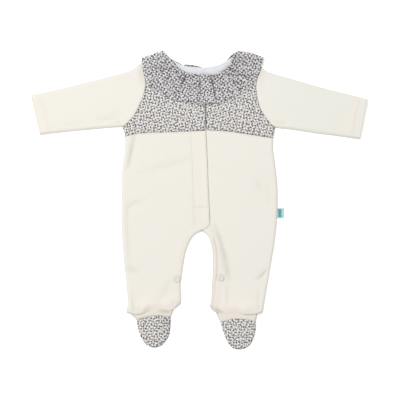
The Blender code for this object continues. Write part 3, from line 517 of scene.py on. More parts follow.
def front_surface(points, seam_shade=0.10):
    """Upper face of the front layer with its relief, and its painted shade in creases, seams, at its edges
    and round the poppers.
    """
    to_seam = distance(points, SEWN_OUTLINE)
    inside = ease(to_seam, 1, 12)
    fine = dents(points, FINE_CREASES) * ease(to_seam, 0.5, 5)
    height = plain_height(points, to_seam) - fine
    height += inside * (0.14 * waves(points, 62, 1) + 0.05 * waves(points, 21, 2))
    # painted shade: darker in creases, seam furrows, at the rolled edges, in a soft strip beside the right
    # side seam and round the poppers
    hollow = 0.30 * fine + 0.06 * dents(points, CREASES) * inside
    for line, depth, half_width, pucker in SEAMS:
        gap, along = nearest(points, line)
        furrow = bell(gap, half_width)
        height += pucker * beat(along, 1.45, 1.7, 9) * bell(gap - 3, 3) - depth * furrow
        hollow += seam_shade * furrow
    for line, rim in OUTER_EDGES:
        gap, along = nearest(points, line)
        furrow = bell(gap - 1.7, 0.8)
        height -= (EDGE_TOP - ROLLED_TOP) * rolled(gap, ROLLED_WIDTH) + 0.12 * furrow
        height += 0.08 * beat(along, 1.9, 2.1, 13) * bell(gap - 4.5, 3)
        hollow += 0.08 * furrow + rim * fade(gap, 0.4, 1.8)
    to_side, down = distance(points, smooth(SIDE["right"])), -points[..., 1]
    hollow += 0.14 * (bell(to_side - 8.2, 3.2) * ease(down, -5, 20) * fade(down, 85, 105))
    for place in POPPER_PLACES.values():
        furrow = bell(np.linalg.norm(points - place, axis=-1) - 5.9, 1.1)
        height -= 0.25 * furrow
        hollow += 0.18 * furrow
    return height, hollow


def lap(points):
    """Offset in x of each point from the edge of the centre front."""
    falling = cut(CENTRE_EDGE, CENTRE_EDGE[0, 1], CENTRE_EDGE[-1, 1])
    return points[..., 0] - np.interp(-points[..., 1], -falling[:, 1], falling[:, 0])


def lap_rise(points):
    """Extra height of the right front along its edge at the centre front."""
    off = lap(points)
    return LAP_RISE * ease(off, -LAP_WIDTH, 0) * fade(off, 1, LAP_WIDTH) * ease(points[..., 1], *LAP_END_Y)


# ---- Meshes

def coons(left, right, top, bottom):
    """Plan points of a panel between its four sides: rows from top to bottom."""
    v, u = ((lengths(a) / lengths(a)[-1] + lengths(b) / lengths(b)[-1]) / 2
            for a, b in ((left, right), (top, bottom)))
    v, u = v[:, None, None], u[None, :, None]
    across = (1 - u) * left[:, None] + u * right[:, None]
    down = (1 - v) * top[None] + v * bottom[None]
    corners = ((1 - u) * (1 - v) * top[0] + u * (1 - v) * top[-1]
               + (1 - u) * v * bottom[0] + u * v * bottom[-1])
    return across + down - corners


def trimmed(grid, top=0, bottom=0, left=0, right=0):
    """The grid with its edges drawn in by these widths."""
    grid = grid.copy()
    edges = ((0, 1, top, 0), (-1, -2, bottom, 0), (0, 1, left, 1), (-1, -2, right, 1))
    for edge, inner, width, axis in edges:
        lines = np.moveaxis(grid, axis, 0)
        run = lines[inner] - lines[edge]
        along = unit(np.gradient(lines[edge], axis=0))
        lines[edge] += width * unit(run - (run * along).sum(axis=-1, keepdims=True) * along)
    return grid


def raised(grid, height):
    """Grid points with their height added."""
    return np.concatenate([grid, height[..., None]], axis=-1)


def unit(vectors):
    """The vectors at length 1."""
    return vectors / np.maximum(np.linalg.norm(vectors, axis=-1, keepdims=True), 1e-9)


def grid_quads(index):
    """Quads of a grid of point numbers, facing up where rows run down and columns to the right."""
    return np.stack([index[:-1, :-1], index[1:, :-1], index[1:, 1:], index[:-1, 1:]], -1).reshape(-1, 4)


def band(first, second):
    """Quads between two closed loops of point numbers."""
    return np.stack([first, np.roll(first, -1), np.roll(second, -1), second], axis=-1)


def add_piece(name, node, points, faces, finish, uv=None, fields=()):
    """A smooth mesh from points in the millimetres of the tables, which stands for its node.

    A finish is a material and a slot name, which is not used. Fields are values for the material,
    one for each point.
    """
    material, slot = finish
    mesh = bpy.data.meshes.new(name)
    mesh.from_pydata([tuple(co) for co in (np.asarray(points) - MIDDLE) * MM], [], faces)
    mesh.shade_smooth()
    mesh.materials.append(material)
    if uv is not None:
        layer = mesh.uv_layers.new(name="Cloth")
        corner = np.zeros(len(mesh.loops), np.int32)
        mesh.loops.foreach_get("vertex_index", corner)
        layer.uv.foreach_set("vector", (uv[corner] * MM).astype(np.float32).ravel())
    for field, values in dict(fields).items():
        attribute = mesh.attributes.new(field, "FLOAT", "POINT")
        attribute.data.foreach_set("value", values.astype(np.float32).ravel())
    made = bpy.data.objects.new(name, mesh)
    bpy.context.scene.collection.objects.link(made)
    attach(made, "root")
    if node:
        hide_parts(node)
    return made


def cloth(name, node, grid, wall, finish, flip=False, shift=(0, 0), turn=0.0, **fields):
    """A shell of cloth: the grid is its outer face, with a soft rim and an inner face behind it.

    Shift and turn place the pattern on it. Fields are one value for all of it or one for each point.
    """
    shape = grid.shape[:2]
    normal = unit(np.cross(np.gradient(grid, axis=0), np.gradient(grid, axis=1))) * (-1 if flip else 1)
    outer, normal = grid.reshape(-1, 3), normal.reshape(-1, 3)
    inner = outer - normal * wall
    index = np.arange(len(outer)).reshape(shape)
    border = np.concatenate([index[0, :-1], index[:-1, -1], index[-1, :0:-1], index[:0:-1, 0]])
    next_in = np.concatenate([index[1, :-1], index[:-1, -2], index[-2, :0:-1], index[:0:-1, 1]])
    out = outer[border] - outer[next_in]
    out = unit(out - (out * normal[border]).sum(-1, keepdims=True) * normal[border])
    rim = (outer[border] + inner[border]) / 2 + out * wall * 0.3
    points = np.vstack([outer, inner, rim])
    count = len(outer)
    ring = 2 * count + np.arange(len(border))
    quads = grid_quads(index)
    faces = np.vstack([quads, quads[:, ::-1] + count, band(border, ring), band(ring, border + count)])
    faces = faces[:, ::-1] if flip else faces
    c, s = math.cos(turn), math.sin(turn)
    uv = points[:, :2] @ np.array([[c, s], [-s, c]]) + np.array(shift)
    for field, values in fields.items():
        values = np.broadcast_to(values, shape).reshape(-1)
        fields[field] = np.concatenate([values, values, values[border]])
    return add_piece(name, node, points, faces.tolist(), finish, uv, fields)


def counts(*sizes):
    """How many steps of the fine spacing go into each length."""
    return [round(size / FINE) for size in sizes]


def stitches(name, lines, height_at, finish):
    """Rows of stitches in one object: each a thread end to end, sunk a little at each end."""
    points, faces = [], []
    angle = np.arange(STITCH_SEGMENTS)[:, None] * 2 * np.pi / STITCH_SEGMENTS
    rings = np.arange(len(STITCH_PROFILE) * STITCH_SEGMENTS).reshape(-1, STITCH_SEGMENTS)
    for line in lines:
        along = lengths(line)
        starts = np.arange(STITCH_GAP, along[-1] - STITCH_LENGTH, STITCH_LENGTH + STITCH_GAP)
        ends = read(line, along, np.concatenate([starts, starts + STITCH_LENGTH]))
        first, last = np.split(raised(ends, height_at(ends)), 2)
        for start, run in zip(first, last - first):
            side = unit(np.array([-run[1], run[0], 0]))
            up = unit(np.cross(run, side))
            up = up if up[2] > 0 else -up
            loops = len(points) + rings
            for t, size in STITCH_PROFILE:
                middle = start + run * (t + 0.5) + up * STITCH_RADIUS * (0.55 - 1.5 * t * t)
                points += list(middle + STITCH_RADIUS * size * (side * np.cos(angle) + up * np.sin(angle)))
            faces += [face for pair in zip(loops, loops[1:]) for face in band(*pair).tolist()]
            faces += [loops[0, ::-1].tolist(), loops[-1].tolist()]
    return add_piece(name, None, points, faces, finish)


# ---- Materials

JERSEY_DARK = (0.843, 0.816, 0.748)
JERSEY_LIGHT = (0.873, 0.848, 0.784)
JERSEY_CLOUD = (0.850, 0.834, 0.765)
JERSEY_WARM = (0.886, 0.837, 0.763)
JERSEY_COOL = (0.840, 0.836, 0.766)
WALE = 1.05                   # widths of ribs and threads
COURSE = 0.8
WEAVE = 0.42
TWILL = 0.9
TAG_RIB = 0.55


class Number:
    """A number in a node tree, so that sums can be written as sums."""

    def __init__(self, shade, socket):
        self.shade, self.socket = shade, socket

    def step(self, start, end):
        """0 at start and 1 at end, with a smooth step between them."""
        made = self.shade.node("ShaderNodeMapRange", {"Value": self, "From Min": start, "From Max": end},
                               interpolation_type="SMOOTHSTEP")
        return Number(self.shade, made.outputs["Result"])

    def ripple(self, length):
        """Between 0 and 1, with ripples of this length."""
        return (self * (2 * math.pi / length)).sin() * 0.5 + 0.5


# Its operators, and its functions of one number or two: each adds one Math node
for sign, kind in {"add": "ADD", "sub": "SUBTRACT", "mul": "MULTIPLY", "truediv": "DIVIDE"}.items():
    setattr(Number, f"__{sign}__", lambda a, b, kind=kind: a.shade.math(kind, a, b))
    setattr(Number, f"__r{sign}__", lambda a, b, kind=kind: a.shade.math(kind, b, a))
for word, kind in {"__abs__": "ABSOLUTE", "most": "MAXIMUM", "least": "MINIMUM", "sin": "SINE",
                   "cos": "COSINE", "part": "FRACT", "above": "GREATER_THAN"}.items():
    setattr(Number, word, lambda a, b=0.0, kind=kind: a.shade.math(kind, a, b))


class Shade:
    """A Principled material and short ways to write its nodes."""

    def __init__(self, name, colour, roughness, sheen=0.0, **sockets):
        self.material = bpy.data.materials.new(name)
        self.material.use_nodes = True
        self.tree = self.material.node_tree
        self.shader = self.tree.nodes["Principled BSDF"]
        self.put("Base Color", (*colour, 1))
        self.put("Roughness", roughness)
        self.put("Sheen Weight", sheen)
        self.put("Sheen Roughness", 0.6)
        for socket, value in sockets.items():
            self.put(socket.replace("_", " "), value)

    def feed(self, socket, value):
        """A plain value goes into the socket, and a node's output is linked to it."""
        value = value.socket if isinstance(value, Number) else value
        if isinstance(value, bpy.types.NodeSocket):
            self.tree.links.new(value, socket)
        else:
            socket.default_value = value

    def put(self, socket, value):
        """The same for an input of the shader."""
        self.feed(self.shader.inputs[socket], value)

    def node(self, kind, inputs=(), **settings):
        made = self.tree.nodes.new(kind)
        for key, value in settings.items():
            setattr(made, key, value)
        for key, value in dict(inputs).items():
            self.feed(made.inputs[key], value)
        return made

    def math(self, operation, a, b=0.0):
        return Number(self, self.node("ShaderNodeMath", {0: a, 1: b}, operation=operation).outputs[0])

    def vector(self, operation, a, b):
        key = "Scale" if operation == "SCALE" else 1
        return self.node("ShaderNodeVectorMath", {0: a, key: b}, operation=operation).outputs[0]

    def split(self, vector, kind="ShaderNodeSeparateXYZ"):
        return [Number(self, output) for output in self.node(kind, {0: vector}).outputs]

    def plan(self):
        """Place on the cloth in millimetres: a vector, x and y."""
        place = self.vector("SCALE", self.node("ShaderNodeUVMap", uv_map="Cloth").outputs["UV"], 1 / MM)
        return place, *self.split(place)[:2]

    def place(self):
        """Place on an object without a plan, in metres."""
        return self.node("ShaderNodeTexCoord").outputs["Object"]

    def field(self, name):
        """A value kept at the points of the mesh."""
        return Number(self, self.node("ShaderNodeAttribute", attribute_name=name).outputs["Fac"])

    def noise(self, vector, scale, detail=2.0):
        made = self.node("ShaderNodeTexNoise", {"Vector": vector, "Scale": scale, "Detail": detail})
        return Number(self, made.outputs["Fac"])

    def mix(self, share, first, second):
        made = self.node("ShaderNodeMix", {"Factor": share}, data_type="RGBA")
        for key, value in (("A", first), ("B", second)):
            socket = [s for s in made.inputs if s.name == key and s.type == "RGBA"][0]
            self.feed(socket, value if isinstance(value, bpy.types.NodeSocket) else (*value, 1))
        return [s for s in made.outputs if s.type == "RGBA"][0]

    def finished(self, colour, roughness, relief, size):
        """The material with this colour and roughness, and relief from 0 to 1 that is size metres high."""
        self.put("Base Color", colour)
        self.put("Roughness", roughness)
        bump = self.node("ShaderNodeBump", {"Height": relief, "Distance": size, "Strength": 1.0})
        self.put("Normal", bump.outputs["Normal"])
        return self.material


def jersey_material():
    """Fine cream knit: wales and courses, uneven yarn, warmer where the cloth lies double, with painted shade
    between its loops and in its creases, seams and folds.
    """
    shade = Shade("cream_jersey", (0.87, 0.84, 0.77), 0.92, sheen=0.08, Specular_IOR_Level=0.2)
    place, x, y = shade.plan()
    wale = abs((x / WALE).part() - 0.5) * 2.0
    course = (y / COURSE + wale * 0.55) * (2 * math.pi)
    loops = (course.cos() * 0.5 + 0.5) * (1.0 - wale * wale * 0.75)
    yarn = shade.noise(shade.vector("MULTIPLY", place, (0.3, 2.2, 1.0)), 0.5, 3.0)
    cloud = shade.noise(place, 0.02)
    warmth = shade.field("warmth")
    cream = shade.mix(yarn.step(0.36, 0.66), JERSEY_DARK, JERSEY_LIGHT)
    cream = shade.mix(cloud.step(0.35, 0.7) * 0.25, cream, JERSEY_CLOUD)
    cream = shade.mix(warmth.most(0.0), cream, JERSEY_WARM)
    cream = shade.mix((0.0 - warmth).most(0.0) * 0.8, cream, JERSEY_COOL)
    # painted shade between the knit's loops
    cream = shade.mix((1.0 - loops) * 0.07, cream, (0.66, 0.62, 0.55))
    # painted shade: the cloth darkened towards warm brown where it lies in creases, seams and folds
    cream = shade.mix(shade.field("hollow").least(1.0) * 0.8, cream, (0.44, 0.40, 0.33))
    return shade.finished(cream, yarn * 0.12 + 0.84, loops * 0.6 + yarn * 0.4, 0.00007)


def turned(x, y, angle):
    """x and y in axes turned by an angle, a node's or a plain one."""
    is_node = isinstance(angle, Number)
    c, s = (angle.cos(), angle.sin()) if is_node else (math.cos(angle), math.sin(angle))
    return x * c + y * s, y * c - x * s


def lens(u, v, half_length, half_width):
    """Above 0 inside a leaf with two pointed ends, along u."""
    return 1.0 - (u / half_length) * (u / half_length) - abs(v) / half_width


def scattered(shade, x, y, cell, turn):
    """Cells over the cloth: place in the cell at its own turn, two chances and the edge's distance."""
    a, b = turned(x, y, turn)
    place = shade.node("ShaderNodeCombineXYZ", {0: a + turn * 31.7, 1: b + turn * 17.3}).outputs[0]
    settings = {"Vector": place, "Scale": 1.0 / cell, "Randomness": SCATTER}
    cells, border = (shade.node("ShaderNodeTexVoronoi", settings, voronoi_dimensions="2D", feature=feature)
                     for feature in ("F1", "DISTANCE_TO_EDGE"))
    off = shade.split(shade.vector("SUBTRACT", place, cells.outputs["Position"]))
    first, second, third = shade.split(cells.outputs["Color"], "ShaderNodeSeparateColor")
    edge = Number(shade, border.outputs["Distance"]) * cell
    return *turned(off[0], off[1], first * (2 * math.pi)), second, third, edge


def print_material(name, ground, ink, grey, white, pink, width):
    """Closely scattered small leaves with a vein each, and little blossoms over them; painted shade between
    the threads of its weave and in its pleats and seams.
    """
    shade = Shade(name, ground, 0.85, sheen=0.06, Specular_IOR_Level=0.3)
    place, x, y = shade.plan()
    u, v, second, _, edge = scattered(shade, x, y, LEAF_CELL, 0.35)
    bent = v + u * u * 0.10 - 0.12
    leaf = lens(u, bent, LEAF_LENGTH, width).step(0.0, 0.2) * edge.step(0.0, 0.2)
    vein = (0.17 - abs(bent)).step(0.0, 0.09) * 0.35
    colour = shade.mix(leaf * (1.0 - vein), ground, shade.mix(second.step(0.4, 0.6), ink, grey))
    u, v, _, third, _ = scattered(shade, x, y, BLOSSOM_CELL, 1.4)
    radius = shade.math("SQRT", u * u + v * v)
    angle = shade.math("ARCTAN2", v, u)
    petals = BLOSSOM_RADIUS * 0.98 + (angle * 5.0).cos() * (BLOSSOM_RADIUS * 0.25) - radius
    colour = shade.mix(petals.step(-0.08, 0.10), colour, white)
    eye = shade.mix(third.above(0.8), ink, pink)
    colour = shade.mix((0.33 - radius).step(-0.05, 0.05) * 0.45, colour, eye)
    weave = 2 * math.pi / WEAVE
    thread = ((x * weave).sin() * (y * weave).sin()) * 0.5 + 0.5
    slub = shade.noise(place, 0.7, 3.0)
    # painted shade between the threads of the weave
    colour = shade.mix((1.0 - thread) * 0.06, colour, (0.30, 0.28, 0.27))
    # painted shade: the print darkened where it lies in pleats, gathers, seams and folds
    colour = shade.mix(shade.field("hollow").least(1.0) * 0.9, colour, (0.050, 0.045, 0.046))
    return shade.finished(colour, slub * 0.14 + 0.76, thread * 0.55 + slub * 0.5, 0.00010)


def facing_material():
    """Bluish white woven tape, greyed by painted shade where the ruffle and the neck shade it."""
    shade = Shade("white_facing", (0.80, 0.82, 0.87), 0.88, sheen=0.06, Specular_IOR_Level=0.3)
    place, x, y = shade.plan()
    twill = (x + y).ripple(TWILL)
    slub = shade.noise(place, 0.6, 3.0)
    # partly painted shade between the twill's ridges, partly uneven yarn tone
    white = shade.mix(twill * 0.5 + slub * 0.4, (0.74, 0.76, 0.80), (0.82, 0.84, 0.88))
    # painted shade: the tape greyed where it lies in shade
    white = shade.mix(shade.field("hollow").most(0.0) * 0.8, white, (0.56, 0.555, 0.56))
    return shade.finished(white, slub * 0.1 + 0.80, twill * 0.6 + slub * 0.4, 0.00009)


def label_material():
    """Pale ribbed ribbon with a plain darker block in its middle, and painted shade between its ribs."""
    shade = Shade("tag_ribbon", (0.62, 0.80, 0.84), 0.6, sheen=0.1, Specular_IOR_Level=0.4)
    place, x, y = shade.plan()
    slub = shade.noise(place, 0.55)
    from_seam, half_width, half_length = LABEL_BLOCK
    across = abs(x - (LABEL_X[0] + from_seam)) + slub * 0.8
    along = abs(y - (LABEL_Y[0] + LABEL_Y[1]) / 2) + slub * 1.2
    block = (half_width - across).step(-0.15, 0.25) * (half_length - along).step(-0.15, 0.25)
    rib = y.ripple(TAG_RIB)
    teal = shade.mix(slub.step(0.42, 0.62), (0.035, 0.27, 0.29), (0.12, 0.46, 0.47))
    colour = shade.mix(block, (0.52, 0.73, 0.75), teal)
    # painted shade in the furrows between the ribs
    colour = shade.mix((1.0 - rib) * 0.15, colour, (0.25, 0.45, 0.48))
    return shade.finished(colour, slub * 0.15 + 0.5, rib * 0.7 + slub * 0.3, 0.00010)


def thread_material(name, colour, dark):
    """Twisted sewing thread, with painted shade along the grooves of its twist."""
    shade = Shade(name, colour, 0.7, sheen=0.15, Specular_IOR_Level=0.35)
    twist = shade.node("ShaderNodeTexWave", {"Vector": shade.place(), "Scale": 900.0, "Distortion": 1.5},
                       bands_direction="DIAGONAL")
    twist = Number(shade, twist.outputs["Fac"])
    # painted shade along the grooves of the twist
    return shade.finished(shade.mix(twist * 0.5, colour, dark), twist * 0.1 + 0.62, twist, 0.00004)


def popper_material():
    """Cream moulded cap, a little clouded."""
    shade = Shade("cream_popper", (0.76, 0.74, 0.70), 0.4, Specular_IOR_Level=0.45, Coat_Weight=0.15,
                  Coat_Roughness=0.25)
    cloud = shade.noise(shade.place(), 420.0)
    cream = shade.mix(cloud.step(0.3, 0.7), (0.71, 0.69, 0.645), (0.80, 0.785, 0.745))
    return shade.finished(cream, cloud * 0.16 + 0.34, cloud, 0.00003)


# ---- The cloth pieces

def doubled_front(grid, side):
    """Where a front lies double: its band at the centre, and the facing along the inner leg."""
    gap, down = distance(grid, smooth(INNER[side])), -grid[..., 1]
    doubled = fade(gap, 6.2, 7.2) * ease(down, 62, 70)
    reach = DOUBLED_LEG[side]
    doubled = np.maximum(doubled, fade(gap, reach - 2.5, reach + 2.5) * ease(down, 54, 80))
    if side == "right":
        at_edge = ease(lap(grid), -PLACKET_WIDTH - 0.6, -PLACKET_WIDTH + 0.2)
        doubled = np.maximum(doubled, at_edge * ease(grid[..., 1], PLACKET_END_Y - 30, PLACKET_END_Y - 26))
    return doubled


def instep_surface(points, side):
    """Upper face of an instep, lower towards the leg that blouses over it, and its painted shade under that
    leg.
    """
    to_cap = distance(points, smooth(FOOT[side]["cap_seam"]))
    to_seam = distance(points, SEWN_OUTLINE)
    height, hollow = front_surface(points)
    tuck = INSTEP_TUCK * ease(to_cap, 0, TUCK_LENGTH) * ease(to_seam, 0, TUCK_ROUND)
    return height - tuck, hollow + INSTEP_SHADE[side]


def fold_strength(across, side):
    """How far the leg's blouse stands off the instep, from its outer side to its inner one."""
    if side == "left":
        return np.maximum(fade(1 - across, 0.30, 0.48), 0.9 * fade(across, 0.06, 0.2))
    return np.maximum(fade(across, 0.28, 0.46), 0.6 * ease(across, 0.78, 0.92))


def front_plan(side):
    """Grid of a front of body and leg, from the yoke seam to the ankle."""
    upper_rows, corner_rows = counts(TORSO_LENGTH, SHORT_LENGTH)
    leg_rows, columns = counts(LEG_LENGTH, FRONT_WIDTH)
    centre, corner, outline = np.array(CENTRE_FRONT, float), np.array(CORNER_FRONT, float), SIDE[side]
    if side == "left":
        centre, corner = centre + (SEAM, 0), corner + (SEAM, -SEAM)
        centre[0] = YOKE_SEAM["left"][0]
    inner_side = joined(spaced(centre, upper_rows), spaced(corner, corner_rows),
                        spaced((tuple(corner[1]),) + INNER[side][1:], leg_rows))
    outer_side = joined(part_of(outline, outline[0][1], CROTCH_SIDE_Y[0], upper_rows),
                        part_of(outline, *CROTCH_SIDE_Y, corner_rows),
                        part_of(outline, CROTCH_SIDE_Y[1], outline[-1][1], leg_rows))
    sides = (outer_side, inner_side) if side == "right" else (inner_side, outer_side)
    grid = coons(*sides, spaced(YOKE_SEAM[side], columns), spaced(ANKLE[side], columns))
    return trimmed(grid, top=HALF_SEAM)


def centre_relief(side, grid, doubled, height, hollow):
    """The right front's lap, placket and corner, or the left front's dip beside it and its leg facing, with
    the painted shade of each.
    """
    off, y = lap(grid), grid[..., 1]
    above_corner = ease(y, *LAP_END_Y)
    if side == "right":
        height += lap_rise(grid)
        height -= LAP_EDGE * rolled(-off, EDGE_ROUND) * above_corner
        furrow = bell(off + PLACKET_WIDTH, 2.4) * ease(y, -42, -34)
        height -= 0.18 * furrow
        # painted shade in the placket's furrow, painted shadow under the lap's edge near its lower end and
        # along the crotch corner, and at the placket's end
        hollow += (0.05 + 0.08 * ease(-y, -20, 15)) * furrow
        under = bell(off + 0.9, 1.3) * fade(y, -26, -16) * above_corner
        hollow += 0.30 * under + 0.42 * bell(distance(grid, CORNER_FRONT) - 0.9, 1.3)
        hollow += 0.10 * bell(y - PLACKET_END_Y, 1.2) * (doubled > 0.5) * (off < -1)
        return
    depth, half_width = LAP_TUCK
    height -= depth * bell(off, half_width) * above_corner
    # painted shade in the dip beside the lap, beside the leg's facing and at the facing's edge
    hollow += 0.13 * bell(off, 2.2) * above_corner
    gap = distance(grid, smooth(INNER["left"]))
    facing = 7.0 - 2.5 * ease(-y, 120, 145)
    beside_facing = bell(gap - facing, 1.1) * ease(-y, 58, 68)
    height -= 0.35 * beside_facing
    hollow += 0.28 * beside_facing + 0.14 * fade(gap, facing - 1, facing) * ease(-y, 62, 72)
    hollow += 0.07 * bell(gap - 13.5, 1.2) * ease(-y, 112, 125)


def build_front(side, jersey):
    """Front of body and leg: from the yoke seam to the blouse over the instep."""
    grid = front_plan(side)
    height, hollow = front_surface(grid)
    doubled = doubled_front(grid, side)
    height += DOUBLED_RISE * doubled
    # a little painted shade where the front lies double
    hollow += 0.03 * doubled
    centre_relief(side, grid, doubled, height, hollow)
    to_ankle = distance(grid, smooth(ANKLE[side]))
    across = np.linspace(0, 1, grid.shape[1])[None, :]
    strength = fold_strength(across, side)
    full = np.sin(np.pi * across)
    roll = ROLL_RISE * full**0.4 * fade(to_ankle, *ROLL_FADE) * (0.35 + 0.65 * strength)
    curl = CURL_DROP * full**2 * fade(to_ankle, 0, CURL_LENGTH) * strength
    gathers = 0.22 * waves(grid, 11, 5) * full * fade(to_ankle, 3, 14)
    height += roll - curl + gathers
    flush = (1 - strength) * full**0.3 * fade(to_ankle, 0, FLUSH_LENGTH)
    height += (instep_surface(grid, side)[0] + FLUSH_STEP - height) * flush
    height[-1] -= 0.10 * flush[-1]
    # painted shade where the leg blouses over the instep, and painted shadow at the ankle's corners
    hollow += 0.17 * fade(to_ankle, 0, 11) * full**0.5 + 0.22 * strength * fade(to_ankle, 0, 2.2)
    at_corner = fade(np.minimum(across, 1 - across), 0.08, 0.18)
    hollow += 0.45 * at_corner * fade(to_ankle, 0.6, 3.0)
    if side == "right":
        outer_part = fade(across, 0.10, 0.32)
    else:
        outer_part = ease(across, 0.68, 0.90)
        doubled = np.maximum(doubled, bell(lap(grid), 3.5) * ease(grid[..., 1], *LAP_END_Y))
    warm = np.maximum(0.95 * doubled, ease(-grid[..., 1], 125, 160) * (1 - 0.85 * outer_part))
    return cloth("front_cloth_" + side, "front_" + side, raised(grid, height), CLOTH, jersey,
                 warmth=warm, hollow=hollow)


def build_yoke(side, printed):
    """Printed yoke, from the shoulder to the seam below the armhole."""
    is_right = side == "right"
    armhole_rows, stub_rows = counts(ARMHOLE_LENGTH, SHORT_LENGTH)
    neck_rows, columns = counts(NECK_LENGTH, YOKE_WIDTH)
    chest_rows = armhole_rows - neck_rows
    centre = np.array(CENTRE_YOKE, float) + (0 if is_right else SEAM, 0)
    if not is_right:
        centre[-1] = YOKE_SEAM["left"][0]
    top_y, seam_y = centre[0][1], centre[-1][1]
    last_y = seam_y + (top_y - seam_y) * stub_rows / (chest_rows + stub_rows)
    outer = joined(spaced(ARMHOLE[side], armhole_rows), spaced(STUB[side], stub_rows))
    inner = joined(spaced(NECK_FRONT[side], neck_rows), part_of(centre, top_y, last_y, chest_rows),
                   part_of(centre, last_y, seam_y, stub_rows))
    sides = (outer, inner) if is_right else (inner, outer)
    shoulder = SHOULDER[side][::1 if is_right else -1]
    grid = coons(*sides, spaced(shoulder, columns), spaced(YOKE_SEAM[side], columns))
    grid = trimmed(grid, bottom=HALF_SEAM, **{"left" if is_right else "right": HALF_SEAM})
    height, hollow = front_surface(grid, seam_shade=0.08)
    off = lap(grid)
    to_seam = distance(grid, smooth(YOKE_SEAM[side]))
    to_armhole = distance(grid, smooth(ARMHOLE[side]))
    height -= 0.55 * fade(to_seam, 0, 8) + 0.3 * fade(to_armhole, 0, 6)
    # painted shade along the yoke seam and the armhole
    hollow += 0.07 * fade(to_seam, 0, 10) + 0.06 * fade(to_armhole, 0, 8) + 0.12 * fade(to_seam, 0, 2.5)
    # painted shadow at the lap's edge, on both yokes
    if is_right:
        height += lap_rise(grid) - LAP_EDGE * rolled(-off, EDGE_ROUND)
        hollow += 0.35 * bell(off, 1.3)
    else:
        height -= 1.2 * bell(off, 2.4)
        hollow += 0.75 * bell(off, 1.9)
    return cloth("yoke_cloth_" + side, "yoke_" + side, raised(grid, height), CLOTH, printed,
                 shift=(0, 0) if is_right else (53, 29), hollow=hollow)


def back_grids():
    """Plan of the back in three grids that share their edges: the torso and both legs."""
    sizes = (BACK_LENGTH, LEG_LENGTH, HALF_BACK, ARMHOLE_LENGTH, SHORT_LENGTH)
    side_rows, leg_rows, half, armhole_rows, stub_rows = (int(size / COARSE) for size in sizes)
    shoulder = int(half * SHOULDER_SHARE)
    top = joined(spaced(SHOULDER["right"], shoulder), spaced(NECK_BACK, 2 * (half - shoulder)),
                 spaced(SHOULDER["left"][::-1], shoulder))
    left, right = (joined(spaced(ARMHOLE[side], armhole_rows), spaced(STUB[side], stub_rows),
                          part_of(SIDE[side], SIDE[side][0][1], CROTCH_SIDE_Y[1], side_rows))
                   for side in SIDES)
    crotch = np.array(INNER["right"][0], float)
    bottom = joined(spaced((left[-1], crotch), half), spaced((crotch, right[-1]), half))
    torso = coons(left, right, top, bottom)
    legs = []
    for side, upper in zip(SIDES, (torso[-1, :half + 1], torso[-1, half:])):
        outer = part_of(SIDE[side], CROTCH_SIDE_Y[1], SIDE[side][-1][1], leg_rows)
        edges = (outer, spaced(INNER[side], leg_rows))
        heel = spaced((ANKLE[side][0], ANKLE[side][-1]), half)
        legs.append(coons(*edges[::1 if side == "right" else -1], upper, heel))
    return torso, *legs


def build_back(jersey):
    """Back of body and legs in one shell, flat but for its rise over the ruffle."""
    torso, right_leg, left_leg = back_grids()
    columns, half = torso.shape[1], right_leg.shape[1]
    plan = torso.reshape(-1, 2)
    index = np.arange(len(plan)).reshape(torso.shape[:2])
    quads, border = [grid_quads(index)], [index[0, :], index[:, 0], index[:, -1]]
    for leg, start in ((right_leg, 0), (left_leg, columns - half)):
        own = np.arange(leg[1:].size // 2).reshape(-1, half) + len(plan)
        plan = np.vstack([plan, leg[1:].reshape(-1, 2)])
        both = np.vstack([index[-1:, start:start + half], own])
        quads.append(grid_quads(both))
        border += [both[-1], both[:, 0], both[:, -1]]
    quads = np.vstack(quads)
    edge = np.unique(np.concatenate(border))
    plan[edge] += SEAM * unit(BACK_MIDDLE - plan[edge])
    to_edge = distance(plan, np.vstack([SEWN_OUTLINE, smooth(ARMHOLE["right"]), smooth(ARMHOLE["left"])]))
    turned_down = rolled(to_edge, BACK_ROUND)
    upper = raised(plan, BACK_TOP + back_lift(plan) - 0.3 * turned_down)
    lower = raised(plan, back_lift(plan) + 0.12 * turned_down)
    used = np.vstack([quads[:, [k, (k + 1) % 4]] for k in range(4)])
    _, where, times = np.unique(np.sort(used, axis=1), axis=0, return_index=True, return_counts=True)
    rim, count = used[where[times == 1]], len(plan)
    sides = np.stack([rim[:, 0], rim[:, 0] + count, rim[:, 1] + count, rim[:, 1]], -1)
    faces = np.vstack([quads, quads[:, ::-1] + count, sides])
    return add_piece("back_cloth", "back_body", np.vstack([upper, lower]), faces.tolist(), jersey,
                     np.vstack([plan, plan]), {"warmth": np.zeros(2 * count), "hollow": np.zeros(2 * count)})


def build_underlap(jersey):
    """Band sewn under the edge of the left front, which the right front laps over."""
    rows, columns = counts(UNDERLAP_LENGTH, PLACKET_WIDTH)
    line = spaced(cut(CENTRE_EDGE, UNDERLAP_TOP_Y, UNDERLAP_END_Y), rows)
    u = np.linspace(0, 1, columns + 1)[None, :, None]
    grid = line[:, None] - (PLACKET_WIDTH - UNDERLAP_BEYOND, 0) + u * (PLACKET_WIDTH, 0)
    # painted shade all over: the band lies under the lap
    return cloth("underlap_cloth", "front_underlap", raised(grid, plain_height(grid) - UNDERLAP_DEPTH),
                 THIN_CLOTH, jersey, warmth=1.0, hollow=0.3)


